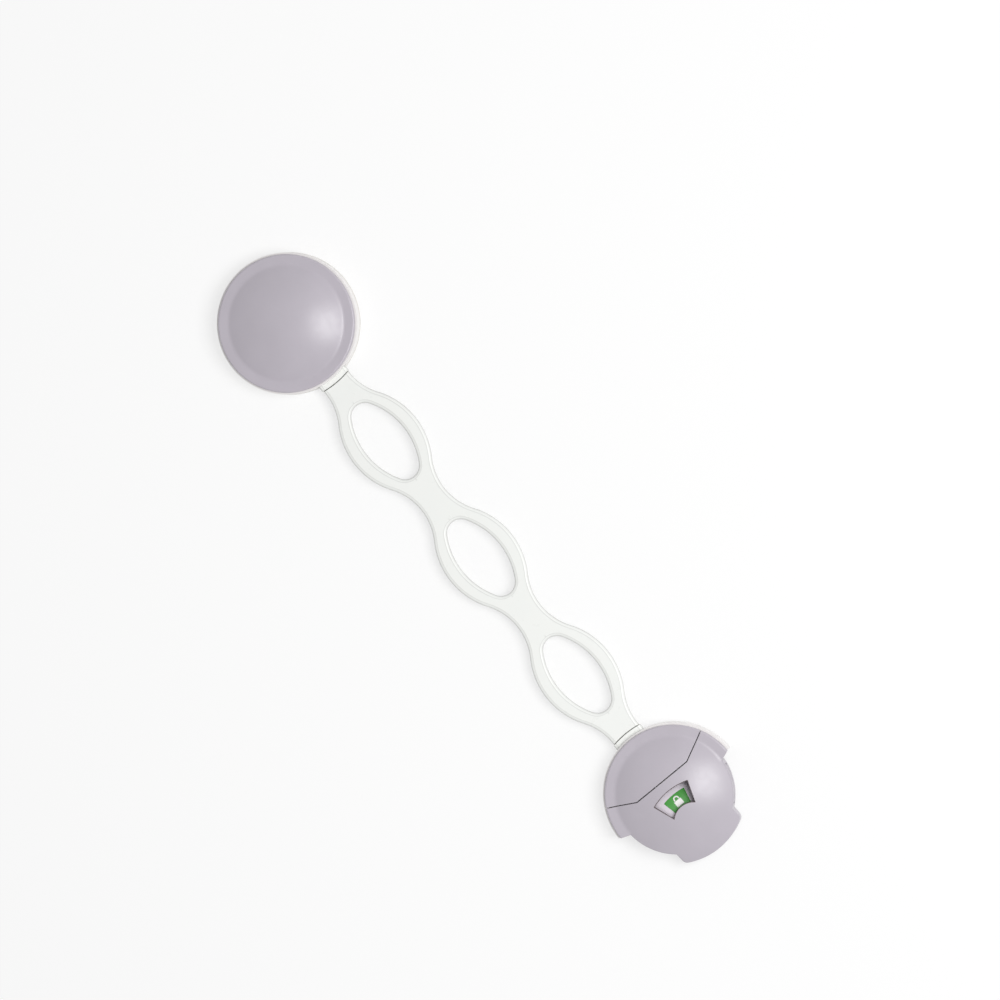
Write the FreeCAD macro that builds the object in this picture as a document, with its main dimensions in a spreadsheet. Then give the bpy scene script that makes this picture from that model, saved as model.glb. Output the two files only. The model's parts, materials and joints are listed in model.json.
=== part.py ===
import FreeCAD, Part
import math
import os
import re

import Sketcher

# A strap lock that holds a cabinet door shut. Two round ends are stuck to the furniture, and a flexible strap
# with three oval eyes joins them. The fixed end is glued for good. The lock end lifts off its own glued base
# when both of its side buttons are squeezed, and a small flag in its window shows whether it is locked.
# Millimetres. +X runs along the strap to the lock end, +Z points away from the furniture, and the origin is
# the centre of the fixed end's adhesive face. The lock end is drawn about its own centre and placed last.

# ---------------------------------------------------------------- driving sizes

SIZES = {
    # strap
    "eye_spacing": 49.3,
    "tab_reach": 2.1,  # from a drum to the thin fold line beside it
    "strap_thick": 2.0,
    "strap_low": 3.0,  # the strap's underside above the furniture
    "eye_width": 25.5,
    "waist_width": 10.6,
    "neck_width": 11.3,
    "eye_bulge": 25.0,  # radius of the outline beside an eye
    "eye_hole_length": 29.7,
    "eye_hole_width": 15.0,
    "eye_hole_end": 4.6,
    "strap_edge": 0.7,
    "fold_web": 0.8,  # thickness that the fold lines leave
    "fold_gap": 0.5,
    "flex_gap": 0.15,
    "tail_start": 13.0,  # the strap's hidden end, from the disc's centre
    "peg_radius": 1.3,
    "peg_first": 15.6,
    "peg_second": 19.6,
    "peg_proud": 0.4,
    "tail_gap": 0.15,
    # discs
    "disc_radius": 22.6,
    "brim_width": 3.6,
    "brim_high": 8.5,
    "crown_rise": 5.0,
    "crown_fillet": 2.5,
    "cap_wall": 1.3,
    "brim_round": 0.6,
    "cap_shadow": 0.3,  # the dark line between a cap and its drum
    "spigot_depth": 1.4,
    "spigot_gap": 0.2,
    "drum_proud": 0.6,
    "drum_wall": 1.6,
    "drum_chamfer": 0.4,
    "drum_ledge": 1.4,
    "floor_thick": 1.5,
    "adhesive_thick": 0.9,
    "adhesive_proud": 0.15,
    "adhesive_inset": 0.6,
    # lock end's shell
    "brim_end": 1.3,  # where the brim stops and the finger recess starts
    "brim_slant": 0.37,
    "recess_depth": 3.2,
    "recess_bulge": 21.0,
    "notch_reach": 15.6,
    "tip_half_width": 11.85,
    "tip_proud": 0.25,  # how far the tip lobe stands past the brim's radius
    "tip_corner": 1.9,
    "skirt_low": 0.6,
    "skirt_round": 0.7,
    "seam_back": 5.55,
    "seam_half_width": 10.5,
    "seam_slant": 0.51,
    "seam_gap": 0.35,
    "window_half_angle": 19.5,
    "window_far": 20.65,
    "window_near": 13.3,
    "window_inner_arc": 6.5,
    # glued base of the lock end
    "base_gap": 0.6,
    "base_thick": 1.2,
    "base_chamfer": 0.3,
    "post_radius": 3.0,
    "post_root": 0.8,
    "mushroom_radius": 4.4,
    "mushroom_rim": 0.4,
    "mushroom_high": 1.25,
    "mushroom_taper": 1.4,
    "post_core": 1.4,
    "post_core_deep": 2.5,
    "cam_radius": 0.8,
    "cam_high": 2.9,
    # lock end's inner frame and screws
    "float_gap": 0.3,
    "deck_thick": 1.4,
    "drum_end_gap": 1.5,
    "pass_gap": 0.35,
    "tongue_half_width": 7.0,
    "tongue_gap": 1.3,
    "boss_radius": 2.2,
    "boss_bore": 1.05,
    "boss_bore_deep": 3.4,
    "screw_radius": 1.0,
    "screw_long": 4.0,
    "screw_head": 1.9,
    "screw_head_high": 0.7,
    "screw_recess": 0.8,
    "front_screw_back": 13.0,
    "front_screw_side": 10.0,
    "rear_screw_back": 0.5,
    "rear_screw_side": 13.5,
    # latch wire and side buttons
    "wire_radius": 0.5,
    "wire_gap": 0.15,
    "wire_end": 13.3,
    "wire_bend": 8.0,
    "button_first": 3.2,
    "button_end_gap": 1.3,  # from a recess's outer corner to its button
    "button_low": 2.5,
    "button_wall": 1.6,
    "button_gap": 0.3,
    "button_travel": 1.8,
    "arm_thick": 0.9,
    "arm_width": 3.0,
    "left_arm_start": 6.0,
    "right_arm_start": 10.0,
    "finger_thick": 1.2,
    "leaf_thick": 0.3,
    "leaf_high": 1.2,
    "leaf_apex": 7.5,
    "leaf_half": 3.3,
    "leaf_foot": 0.45,
    "rib_thick": 0.9,
    "rib_inset": 8.4,  # from the nearest recess wall to the rib behind a button
    # indicator flag
    "flag_inset": 0.7,  # how much nearer to the centre than the recess walls the flag's pivot is
    "flag_swing": 34.0,
    "flag_thick": 0.8,
    "flag_far": 21.2,
    "flag_near": 12.6,
    "flag_margin": 1.0,
    "flag_clear": 15.5,  # how far from the centre the flag may reach under the dome
    "flag_boss": 1.8,
    "flag_boss_high": 1.6,
    "flag_pin": 0.9,
    "flag_pin_gap": 0.1,
    "flag_pin_over": 0.3,
    "ramp_reach": 5.1,  # where the flag's stem clears the button arms, from the pivot
    "ramp_top": 8.3,
    "stem_reach": 14.4,
    "lever_reach": 4.6,
    "lever_half_width": 1.2,
    "lever_high": 1.2,
    "cam_gap": 0.35,
    "cam_from_pivot": 3.5,
    "label_thick": 0.12,
    "label_far": 18.8,
    "label_near": 13.6,
    "label_half_angle": 12.5,
    "flag_leaf_thick": 0.3,
    "leaf_seat_gap": 0.05,
}

# ---------------------------------------------------------------- sizes worked out from them

DERIVED = {
    "hinge_offset": "drum_radius + tab_reach",
    "pitch": "2 * hinge_offset + 3 * eye_spacing",
    # strap outline: a wave of arcs that meet with one tangent
    "half_eye": "eye_spacing / 2",
    "wave_rise": "(eye_width - waist_width) / 2",
    "wave_sum": "(half_eye^2 + wave_rise^2) / (2 * wave_rise)",
    "waist_bulge": "wave_sum - eye_bulge",
    "wave_x": "eye_bulge * half_eye / wave_sum",
    "wave_y": "eye_width / 2 - eye_bulge * wave_rise / wave_sum",
    # eye: an oval of four arcs
    "oval_x": "eye_hole_length / 2 - eye_hole_end",
    "oval_side": "(oval_x^2 + (eye_hole_width / 2)^2 - eye_hole_end^2) / (eye_hole_width - 2 * eye_hole_end)",
    "oval_tx": "oval_x + eye_hole_end * oval_x / (oval_side - eye_hole_end)",
    "oval_ty": "eye_hole_end * (oval_side - eye_hole_width / 2) / (oval_side - eye_hole_end)",
    "fold_nose": "fold_web / 2",
    "flex_nose": "strap_thick / 2",
    # caps and drums
    "crown_radius": "disc_radius - brim_width",
    "dome": "(crown_radius^2 + crown_rise^2) / (2 * crown_rise)",
    "dome_z": "brim_high + crown_rise - dome",
    "inner_dome": "dome - cap_wall",
    "fillet_x": "sqrt((dome + crown_fillet)^2 - (brim_high + crown_fillet - dome_z)^2)",
    "foot_share": "dome / (dome + crown_fillet)",
    "foot_z": "dome_z + (brim_high + crown_fillet - dome_z) * foot_share",
    "cap_low": "brim_high - cap_wall",
    "inner_foot": "sqrt(inner_dome^2 - (cap_low - dome_z)^2)",
    "drum_radius": "disc_radius + drum_proud",
    "drum_inside": "drum_radius - drum_wall",
    "drum_top": "cap_low - cap_shadow",
    "spigot_outside": "drum_inside - spigot_gap",
    "spigot_inside": "spigot_outside - cap_wall",
    "ledge_z": "cap_low - spigot_depth",
    "floor_z": "adhesive_thick + floor_thick",
    "strap_top": "strap_low + strap_thick",
    # lock end's outline
    "recess_radius": "disc_radius - recess_depth",
    "wall_near": "min(recess_radius; sqrt(notch_reach^2 + tip_half_width^2))",
    "tip_radius": "disc_radius + tip_proud",
    "base_radius": "wall_near - cap_wall - base_gap",
    "rib_out": "wall_near - rib_inset",
    "recess_y": "sqrt(recess_radius^2 - brim_end^2)",
    "recess_dx": "notch_reach - brim_end",
    "recess_dy": "recess_y - tip_half_width",
    "recess_chord": "sqrt(recess_dx^2 + recess_dy^2)",
    "recess_drop": "sqrt(recess_bulge^2 - recess_chord^2 / 4)",
    "recess_cx": "(brim_end + notch_reach) / 2 - recess_drop * recess_dy / recess_chord",
    "recess_cy": "(recess_y + tip_half_width) / 2 - recess_drop * recess_dx / recess_chord",
    # heights in the lock end
    "base_top": "adhesive_thick + base_thick",
    "deck_low": "base_top + float_gap",
    "deck_top": "deck_low + deck_thick",
    "wire_z": "deck_top + float_gap + wire_radius",
    "wire_y": "post_radius + wire_gap + wire_radius",
    "neck_top": "wire_z + wire_radius + wire_gap",
    "arm_low": "wire_z + wire_radius + float_gap",
    "arm_top": "arm_low + arm_thick",
    "leaf_low": "deck_top + wire_gap",
    "leaf_top": "leaf_low + leaf_high",
    "boss_z": "deck_top + float_gap",
    "deck_radius": "wall_near - cap_wall - float_gap",
    "drum_end": "brim_end - drum_end_gap",
    "drum_end_out": "sqrt(drum_radius^2 - drum_end^2)",
    "drum_end_in": "sqrt(drum_inside^2 - drum_end^2)",
    "finger_y": "wire_y - wire_radius - wire_gap",
    "button_last": "notch_reach - button_end_gap",
    "button_first_y": "recess_cy + sqrt(recess_bulge^2 - (button_first - recess_cx)^2)",
    "button_last_y": "recess_cy + sqrt(recess_bulge^2 - (button_last - recess_cx)^2)",
    "button_slope": "(button_first_y - button_last_y) / (button_last - button_first)",
    # flag: what lies under the dome at both ends of its swing
    "flag_back": "wall_near - flag_inset",
    "swing_x": "flag_back * (1 - cos(flag_swing))",
    "swing_y": "-flag_back * sin(flag_swing)",
    "flag_roof": "inner_dome - float_gap - label_thick",
    "stem_from_dome": "flag_back^2 + stem_reach^2 - 2 * flag_back * stem_reach * cos(flag_swing)",
    "stem_top": "dome_z + sqrt(flag_roof^2 - stem_from_dome) - flag_thick / 2",
    "cam_x": "flag_back - cam_from_pivot",
    "cam_y": "lever_half_width + cam_gap + cam_radius",
}

doc = FreeCAD.newDocument("cabinet_safety_lock")
sheet = doc.addObject("Spreadsheet::Sheet", "dims")
for row, (word, size) in enumerate(SIZES.items(), start=1):
    sheet.set(f"A{row}", word)
    sheet.set(f"B{row}", str(size))
    sheet.setAlias(f"B{row}", word)
doc.recompute()


def formula(text):
    """The expression over the sheet for a formula in the words of SIZES and DERIVED."""
    word = re.compile(r"[a-z_][a-z_0-9]*")
    while any(found in DERIVED for found in word.findall(text)):
        text = word.sub(lambda w: f"({DERIVED[w.group()]})" if w.group() in DERIVED else w.group(), text)
    return word.sub(lambda w: f"dims.{w.group()}" if w.group() in SIZES else w.group(), text)


def value(text):
    """The number that a formula gives."""
    return float(sheet.evalExpression(formula(text)))


# ---------------------------------------------------------------- sketches and features


def arc_between(start, end, radius):
    """The shorter arc from start to end: anticlockwise for a positive radius, else clockwise."""
    if radius < 0:
        start, end = end, start
    chord = end - start
    left = FreeCAD.Vector(-chord.y, chord.x, 0).normalize()
    rise = math.sqrt(max(radius**2 - chord.Length**2 / 4, 0))
    centre = (start + end) / 2 + left * rise
    circle = Part.Circle(centre, FreeCAD.Vector(0, 0, 1), abs(radius))
    return Part.ArcOfCircle(circle, circle.parameter(start), circle.parameter(end))


def pin_point(sketch, edge, end, x, y):
    """Holds a point of the sketch at (x, y)."""
    for kind, text, axis in (("DistanceX", x, -2), ("DistanceY", y, -1)):
        if text == "0":
            sketch.addConstraint(Sketcher.Constraint("PointOnObject", edge, end, axis))
            continue
        held = sketch.addConstraint(Sketcher.Constraint(kind, -1, 1, edge, end, value(text)))
        sketch.setExpression(f"Constraints[{held}]", formula(text))


def add_radius(sketch, edge, text):
    held = sketch.addConstraint(Sketcher.Constraint("Radius", edge, abs(value(text))))
    sketch.setExpression(f"Constraints[{held}]", f"abs({formula(text)})")


def add_circle(sketch, x, y, radius):
    centre = FreeCAD.Vector(value(x), value(y), 0)
    edge = sketch.addGeometry(Part.Circle(centre, FreeCAD.Vector(0, 0, 1), value(radius)), False)
    pin_point(sketch, edge, 3, x, y)
    add_radius(sketch, edge, radius)


def add_loop(sketch, corners):
    """A closed outline. A corner is (x, y), or (x, y, radius) where an arc runs on to the next corner."""
    places = [FreeCAD.Vector(value(corner[0]), value(corner[1]), 0) for corner in corners]
    edges = []
    for start, end, corner in zip(places, places[1:] + places[:1], corners):
        if len(corner) == 2:
            edges.append((sketch.addGeometry(Part.LineSegment(start, end), False), 1, 2))
            continue
        radius = value(corner[2])
        edge = sketch.addGeometry(arc_between(start, end, radius), False)
        edges.append((edge, 1, 2) if radius > 0 else (edge, 2, 1))
    for (before, _, tail), (edge, head, _), corner in zip(edges[-1:] + edges[:-1], edges, corners):
        sketch.addConstraint(Sketcher.Constraint("Coincident", before, tail, edge, head))
        pin_point(sketch, edge, head, corner[0], corner[1])
    for (edge, _, _), corner in zip(edges, corners):
        if len(corner) == 3:
            add_radius(sketch, edge, corner[2])


def new_body(label):
    body = doc.addObject("PartDesign::Body", label)
    body.Label = label
    return body


def new_sketch(body, plane, outlines, offset="0"):
    """A sketch on one of the body's own planes, raised by offset along the plane's normal."""
    sketch = body.newObject("Sketcher::SketchObject", f"{body.Name}_outline")
    planes = [found for found in body.Origin.OriginFeatures if found.Role == plane]
    sketch.AttachmentSupport = [(planes[0], "")]
    sketch.MapMode = "FlatFace"
    sketch.setExpression("AttachmentOffset.Base.z", formula(offset))
    for outline in outlines:
        if isinstance(outline, tuple):
            add_circle(sketch, *outline)
        else:
            add_loop(sketch, outline)
    return sketch


TINY = 1e-3  # mm or mm3: less than this is nothing


def cut_checked(feature, volume):
    """Stops the build if a cut took nothing away."""
    doc.recompute()
    if feature.Shape.Volume > volume - TINY:
        raise RuntimeError(f"{feature.Name} cuts nothing")


def pad(body, outlines, low, high):
    """Material between two heights."""
    feature = body.newObject("PartDesign::Pad", f"{body.Name}_pad")
    feature.Profile = new_sketch(body, "XY_Plane", outlines, low)
    feature.setExpression("Length", formula(f"({high}) - ({low})"))
    doc.recompute()
    return feature


def pocket(body, outlines, low, high):
    """A cut between two heights."""
    volume = body.Shape.Volume
    feature = body.newObject("PartDesign::Pocket", f"{body.Name}_pocket")
    feature.Profile = new_sketch(body, "XY_Plane", outlines, low)
    feature.Reversed = True
    feature.setExpression("Length", formula(f"({high}) - ({low})"))
    cut_checked(feature, volume)
    return feature


def side_pad(body, outlines, width):
    """Material with a side profile in X and Z, as wide as said, half to each side."""
    feature = body.newObject("PartDesign::Pad", f"{body.Name}_side_pad")
    feature.Profile = new_sketch(body, "XZ_Plane", outlines)
    feature.SideType = "Symmetric"
    feature.setExpression("Length", formula(width))
    doc.recompute()
    return feature


def side_pocket(body, outlines, width):
    """A cut with a side profile in X and Z, as wide as said, half to each side."""
    volume = body.Shape.Volume
    feature = body.newObject("PartDesign::Pocket", f"{body.Name}_side_pocket")
    feature.Profile = new_sketch(body, "XZ_Plane", outlines)
    feature.SideType = "Symmetric"
    feature.setExpression("Length", formula(width))
    cut_checked(feature, volume)
    return feature


def turned(body, corners):
    """A full turn of a profile in X and Z about the Z axis."""
    sketch = new_sketch(body, "XZ_Plane", [corners])
    feature = body.newObject("PartDesign::Revolution", f"{body.Name}_turn")
    feature.Profile = sketch
    feature.ReferenceAxis = (sketch, ["V_Axis"])
    feature.Angle = 360
    doc.recompute()
    return feature


def rectangle(x_low, x_high, y_low, y_high):
    return [(x_low, y_low), (x_high, y_low), (x_high, y_high), (x_low, y_high)]


def backwards(corners):
    """A flipped outline run the other way round, so that its arcs still bend to the same side of it."""
    places = [corner[:2] for corner in corners]
    bends = [corner[2:] for corner in corners]
    return [place + bend for place, bend in zip(places[:1] + places[:0:-1], bends[::-1])]


def mirrored(corners):
    """The outline on the other side of the X axis, still anticlockwise."""
    return backwards([(corner[0], f"-({corner[1]})") + tuple(corner[2:]) for corner in corners])


def place_at_lock(item):
    """Moves a piece that is drawn about the lock end's centre to its place along the strap."""
    item.setExpression("Placement.Base.x", formula("pitch"))


# ---------------------------------------------------------------- part booleans


def cylinder(name, radius, low, high, x="0", y="0"):
    item = doc.addObject("Part::Cylinder", name)
    item.setExpression("Radius", formula(radius))
    item.setExpression("Height", formula(f"({high}) - ({low})"))
    for axis, text in zip("xyz", (x, y, low)):
        item.setExpression(f"Placement.Base.{axis}", formula(text))
    return item


def box(name, x_low, x_high, y_low, y_high, z_low, z_high):
    item = doc.addObject("Part::Box", name)
    for side, low, high in (("Length", x_low, x_high), ("Width", y_low, y_high), ("Height", z_low, z_high)):
        item.setExpression(side, formula(f"({high}) - ({low})"))
    for axis, text in zip("xyz", (x_low, y_low, z_low)):
        item.setExpression(f"Placement.Base.{axis}", formula(text))
    return item


def ball(name, radius, x="0", y="0"):
    """A ball at the height of the dome's centre, far below the caps."""
    item = doc.addObject("Part::Sphere", name)
    item.setExpression("Radius", formula(radius))
    for axis, text in zip("xyz", (x, y, "dome_z")):
        item.setExpression(f"Placement.Base.{axis}", formula(text))
    return item


def join(name, pieces):
    item = doc.addObject("Part::MultiFuse", name)
    item.Shapes = pieces
    item.Refine = True
    doc.recompute()
    return item


def overlap(name, one, other):
    item = doc.addObject("Part::Common", name)
    item.Base = one
    item.Tool = other
    doc.recompute()
    return item


def take_away(name, base, tools):
    for count, tool in enumerate(tools):
        item = doc.addObject("Part::Cut", f"{name}_{count}" if count < len(tools) - 1 else name)
        item.Base = base
        item.Tool = tool
        doc.recompute()
        if item.Shape.Volume > base.Shape.Volume - TINY:
            raise RuntimeError(f"{tool.Name} takes nothing from {name}")
        base = item
    return base


# ---------------------------------------------------------------- strap


def strap_hinge_side(corners):
    """The same profile at a link's far end, mirrored left to right."""
    return backwards([(f"-({corner[0]})", corner[1]) + tuple(corner[2:]) for corner in corners])


def fold_nose_cuts():
    """What is cut from a link's near end to leave a fold line's thin web: a rounded nose at the bottom."""
    tip = "-half_eye - fold_nose"
    below = [(tip, "0"), ("-half_eye", "0", "-fold_nose"), (tip, "fold_nose")]
    above = [
        (tip, "fold_nose", "-fold_nose"),
        ("-half_eye", "fold_web"),
        ("-half_eye", "strap_thick"),
        (tip, "strap_thick"),
    ]
    return [below, above]


def flex_nose_cuts():
    """What is cut from a link's near end to leave a half-round nose as thick as the strap."""
    tip = "-half_eye - flex_nose"
    below = [(tip, "0"), ("-half_eye", "0", "-flex_nose"), (tip, "flex_nose")]
    above = [(tip, "flex_nose", "-flex_nose"), ("-half_eye", "strap_thick"), (tip, "strap_thick")]
    return [below, above]


def long_edges(feature, height):
    """The edges of a feature that lie at a height, other than its square ends."""
    names = []
    for count, edge in enumerate(feature.Shape.Edges, start=1):
        limits = edge.BoundBox
        if limits.ZLength < TINY and abs(limits.ZMax - height) < TINY and limits.XLength > TINY:
            names.append(f"Edge{count}")
    return names


def strap_link(label, place, near, far):
    """One eye of the strap, from waist to waist, drawn about the eye's centre with its underside at 0.

    near and far are "fold" for a thin fold line, "nose" for a half-round end and "cup" for the hollow that
    the next link's nose turns in."""
    body = new_body(label)
    reach = {"fold": "fold_nose", "nose": "flex_nose", "cup": "0"}
    near_x = f"-half_eye - {reach[near]}"
    far_x = f"half_eye + {reach[far]}"
    half_waist = "waist_width / 2"
    half_waves = [("-half_eye", "wave_x"), ("wave_x", "half_eye")]
    lower = [
        ("-half_eye", f"-{half_waist}", "-waist_bulge"),
        ("-wave_x", "-wave_y", "eye_bulge"),
        ("wave_x", "-wave_y", "-waist_bulge"),
        ("half_eye", f"-{half_waist}"),
    ]
    upper = [
        ("half_eye", half_waist, "-waist_bulge"),
        ("wave_x", "wave_y", "eye_bulge"),
        ("-wave_x", "wave_y", "-waist_bulge"),
        ("-half_eye", half_waist),
    ]
    if far != "cup":
        lower.append((far_x, f"-{half_waist}"))
        upper.insert(0, (far_x, half_waist))
    if near != "cup":
        lower.insert(0, (near_x, f"-{half_waist}"))
        upper.append((near_x, half_waist))
    pad(body, [lower + upper], "0", "strap_thick")
    oval = [
        ("oval_tx", "-oval_ty", "eye_hole_end"),
        ("oval_tx", "oval_ty", "oval_side"),
        ("-oval_tx", "oval_ty", "eye_hole_end"),
        ("-oval_tx", "-oval_ty", "oval_side"),
    ]
    eye = pocket(body, [oval], "0", "strap_thick")
    edge = body.newObject("PartDesign::Chamfer", f"{body.Name}_edge")
    edge.Base = (eye, long_edges(eye, 0) + long_edges(eye, value("strap_thick")))
    edge.setExpression("Size", formula("strap_edge"))
    doc.recompute()
    cuts = {"fold": fold_nose_cuts, "nose": flex_nose_cuts}
    width = "waist_width + 2 * strap_edge"
    if near in cuts:
        for loop in cuts[near]():
            side_pocket(body, [loop], width)
    if far in cuts:
        for loop in cuts[far]():
            side_pocket(body, [strap_hinge_side(loop)], width)
    if far == "cup":
        side_pocket(body, [("half_eye", "flex_nose", "flex_nose + flex_gap")], width)
    body.setExpression("Placement.Base.x", formula(place))
    body.setExpression("Placement.Base.z", formula("strap_low"))
    return body


def strap_tail(label, side):
    """A hidden end of the strap, held on two pegs. side is 1 for the fixed end and -1 for the lock end."""
    body = new_body(label)
    near = "tail_start"
    far = "hinge_offset - fold_gap"
    outline = rectangle(near, far, "-neck_width / 2", "neck_width / 2")
    holes = [(spot, "0", "peg_radius + tail_gap") for spot in ("peg_first", "peg_second")]
    if side < 0:
        outline = strap_hinge_side(outline)
        holes = [(f"-({spot})", y, radius) for spot, y, radius in holes]
    pad(body, [outline], "strap_low", "strap_top")
    pocket(body, holes, "strap_low", "strap_top")
    if side < 0:
        place_at_lock(body)
    return body


# ---------------------------------------------------------------- fixed end


def disc_pad(label, radius):
    """A round of double-sided adhesive foam."""
    body = new_body(label)
    pad(body, [("0", "0", radius)], "0", "adhesive_thick")
    return body


def peg_outlines(side):
    sign = "" if side > 0 else "-"
    return [(f"{sign}{spot}", "0", "peg_radius") for spot in ("peg_first", "peg_second")]


def fixed_base():
    """The white drum that the adhesive holds, with a raised seat and two pegs for the strap's end."""
    body = new_body("fixed_base")
    ledge_inside = "drum_inside - drum_ledge"
    turned(body, [
        ("0", "adhesive_thick"),
        ("drum_radius - drum_chamfer", "adhesive_thick"),
        ("drum_radius", "adhesive_thick + drum_chamfer"),
        ("drum_radius", "drum_top"),
        ("drum_inside", "drum_top"),
        ("drum_inside", "ledge_z"),
        (ledge_inside, "ledge_z"),
        (ledge_inside, "floor_z"),
        ("0", "floor_z"),
    ])
    seat_half = "neck_width / 2 + drum_wall"
    seat_end = f"{ledge_inside} + tail_gap"
    pad(body, [rectangle("tail_start - drum_wall", seat_end, f"-({seat_half})", seat_half)],
        "floor_z - tail_gap", "strap_low")
    slot_half = "neck_width / 2 + tail_gap"
    pocket(body, [rectangle("tail_start", "drum_radius + drum_proud", f"-({slot_half})", slot_half)],
           "strap_low", "strap_top + tail_gap")
    pad(body, peg_outlines(1), "strap_low - tail_gap", "strap_top + peg_proud")
    return body


def fixed_cap():
    """A domed cap with a flat brim and a spigot that seats on the drum's inner ledge."""
    body = new_body("fixed_cap")
    turned(body, [
        ("0", "dome_z + inner_dome"),
        ("0", "brim_high + crown_rise", "-dome"),
        ("fillet_x * foot_share", "foot_z", "crown_fillet"),
        ("fillet_x", "brim_high"),
        ("disc_radius - brim_round", "brim_high", "-brim_round"),
        ("disc_radius", "brim_high - brim_round"),
        ("disc_radius", "cap_low"),
        ("spigot_outside", "cap_low"),
        ("spigot_outside", "ledge_z"),
        ("spigot_inside", "ledge_z"),
        ("spigot_inside", "cap_low"),
        ("inner_foot", "cap_low", "inner_dome"),
    ])
    return body


# ---------------------------------------------------------------- lock end's caps


def tip_outline(inset):
    """The plan of the shell beyond the brim: two finger recesses and the tip lobe between them."""
    start_y = f"recess_y - ({inset})"
    side_y = f"tip_half_width - ({inset})"
    bend = f"tip_corner - ({inset}) / 2"
    reach = f"tip_radius - ({inset})"
    bend_x = f"sqrt(({reach} - ({bend}))^2 - ({side_y} - ({bend}))^2)"
    out_x = f"({bend_x}) * ({reach}) / ({reach} - ({bend}))"
    out_y = f"({side_y} - ({bend})) * ({reach}) / ({reach} - ({bend}))"
    return [
        ("brim_end", f"-({start_y})", "recess_bulge"),
        (f"notch_reach - ({inset})", f"-({side_y})"),
        (bend_x, f"-({side_y})", bend),
        (out_x, f"-({out_y})", reach),
        (out_x, out_y, bend),
        (bend_x, side_y),
        (f"notch_reach - ({inset})", side_y, "recess_bulge"),
        ("brim_end", start_y),
    ]


def plan_before(line_x, half_width, slant):
    """The plan of all that lies before a line across the lock end. The line's outer parts slant back."""
    reach = "2 * disc_radius"
    end_x = f"{line_x} - ({slant}) * ({reach} - ({half_width}))"
    return [
        (f"-({reach})", f"-({reach})"),
        (end_x, f"-({reach})"),
        (line_x, f"-({half_width})"),
        (line_x, half_width),
        (end_x, reach),
        (f"-({reach})", reach),
    ]


def seam_plan(side):
    """The plan of what lies before the seam, with half the seam's gap left on the side asked for."""
    shift = f"{'-' if side < 0 else ''}seam_gap / 2"
    return plan_before(f"{shift} - seam_back", "seam_half_width", "seam_slant")


def high_edges(item, low):
    """Numbers of the edges that lie wholly above a height."""
    return [count for count, edge in enumerate(item.Shape.Edges, start=1) if edge.BoundBox.ZMin > low]


def lock_shell():
    """Both caps of the lock end in one: a brimmed dome by the strap, and a dome with a skirt beyond it."""
    brimmed = new_body("brimmed_dome")
    turned(brimmed, [
        ("0", "cap_low"),
        ("disc_radius", "cap_low"),
        ("disc_radius", "brim_high - brim_round", "brim_round"),
        ("disc_radius - brim_round", "brim_high"),
        ("fillet_x", "brim_high", "-crown_fillet"),
        ("fillet_x * foot_share", "foot_z", "dome"),
        ("0", "brim_high + crown_rise"),
    ])
    near_side = new_body("near_side")
    pad(near_side, [plan_before("brim_end", "recess_y", "brim_slant")], "0", "dome")
    near = overlap("near_dome", brimmed, near_side)
    lobe = new_body("lobe_block")
    pad(lobe, [tip_outline("0")], "skirt_low", "dome")
    rough = overlap("lobe_dome", lobe, ball("outer_ball", "dome"))
    smooth = doc.addObject("Part::Fillet", "lobe_smooth")
    smooth.Base = rough
    radius = value("skirt_round")
    rims = []
    for count in high_edges(rough, value("skirt_low") + TINY):
        edge = rough.Shape.Edges[count - 1]
        if abs(edge.BoundBox.XMax - value("brim_end")) > TINY or edge.BoundBox.XLength > TINY:
            rims.append(count)
    smooth.Edges = [(count, radius, radius) for count in rims]
    doc.recompute()
    room = new_body("lobe_room")
    pad(room, [tip_outline("cap_wall")], "0", "dome")
    far = take_away("far_shell", smooth, [overlap("lobe_inside", room, ball("inner_ball", "inner_dome"))])
    near_shell = take_away("near_shell", near, [ball("crown_inside", "inner_dome")])
    return join("lock_shell", [near_shell, far])


def screw_boss(name, x, y):
    """A boss that hangs from the dome down to the deck."""
    post = cylinder(f"{name}_post", "boss_radius", "deck_top", "brim_high + crown_rise", x, y)
    return overlap(name, post, ball(f"{name}_ball", "dome - cap_wall / 2"))


def screw_bore(name, x, y):
    return cylinder(name, "boss_bore", "deck_low", "deck_top + boss_bore_deep", x, y)


SCREW_SPOTS = {
    "front_left": ("-front_screw_back", "front_screw_side"),
    "front_right": ("-front_screw_back", "-front_screw_side"),
    "rear_left": ("-rear_screw_back", "rear_screw_side"),
    "rear_right": ("-rear_screw_back", "-rear_screw_side"),
}


def cap_with_bosses(label, shell, side):
    """A cap with its two screw bosses and their bores."""
    spots = {name: spot for name, spot in SCREW_SPOTS.items() if name.startswith(side)}
    bosses = [screw_boss(f"{name}_boss", *spot) for name, spot in spots.items()]
    bores = [screw_bore(f"{name}_bore", *spot) for name, spot in spots.items()]
    whole = join(f"{label}_with_bosses", [shell] + bosses)
    return take_away(label, whole, bores)


def front_cap(shell):
    before = new_body("before_seam")
    pad(before, [seam_plan(-1)], "0", "dome")
    cap = cap_with_bosses("front_cap", overlap("front_shell", shell, before), "front")
    place_at_lock(cap)
    return cap


def window_outline():
    """A window shaped like a slice of a ring about the flag's pivot, with a curved inner side."""
    far_x = "flag_back - window_far * cos(window_half_angle)"
    far_y = "window_far * sin(window_half_angle)"
    near_x = "flag_back - window_near * cos(window_half_angle)"
    near_y = "window_near * sin(window_half_angle)"
    return [
        (far_x, far_y, "window_far"),
        (far_x, f"-{far_y}"),
        (near_x, f"-{near_y}", "-window_inner_arc"),
        (near_x, near_y),
    ]


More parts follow.
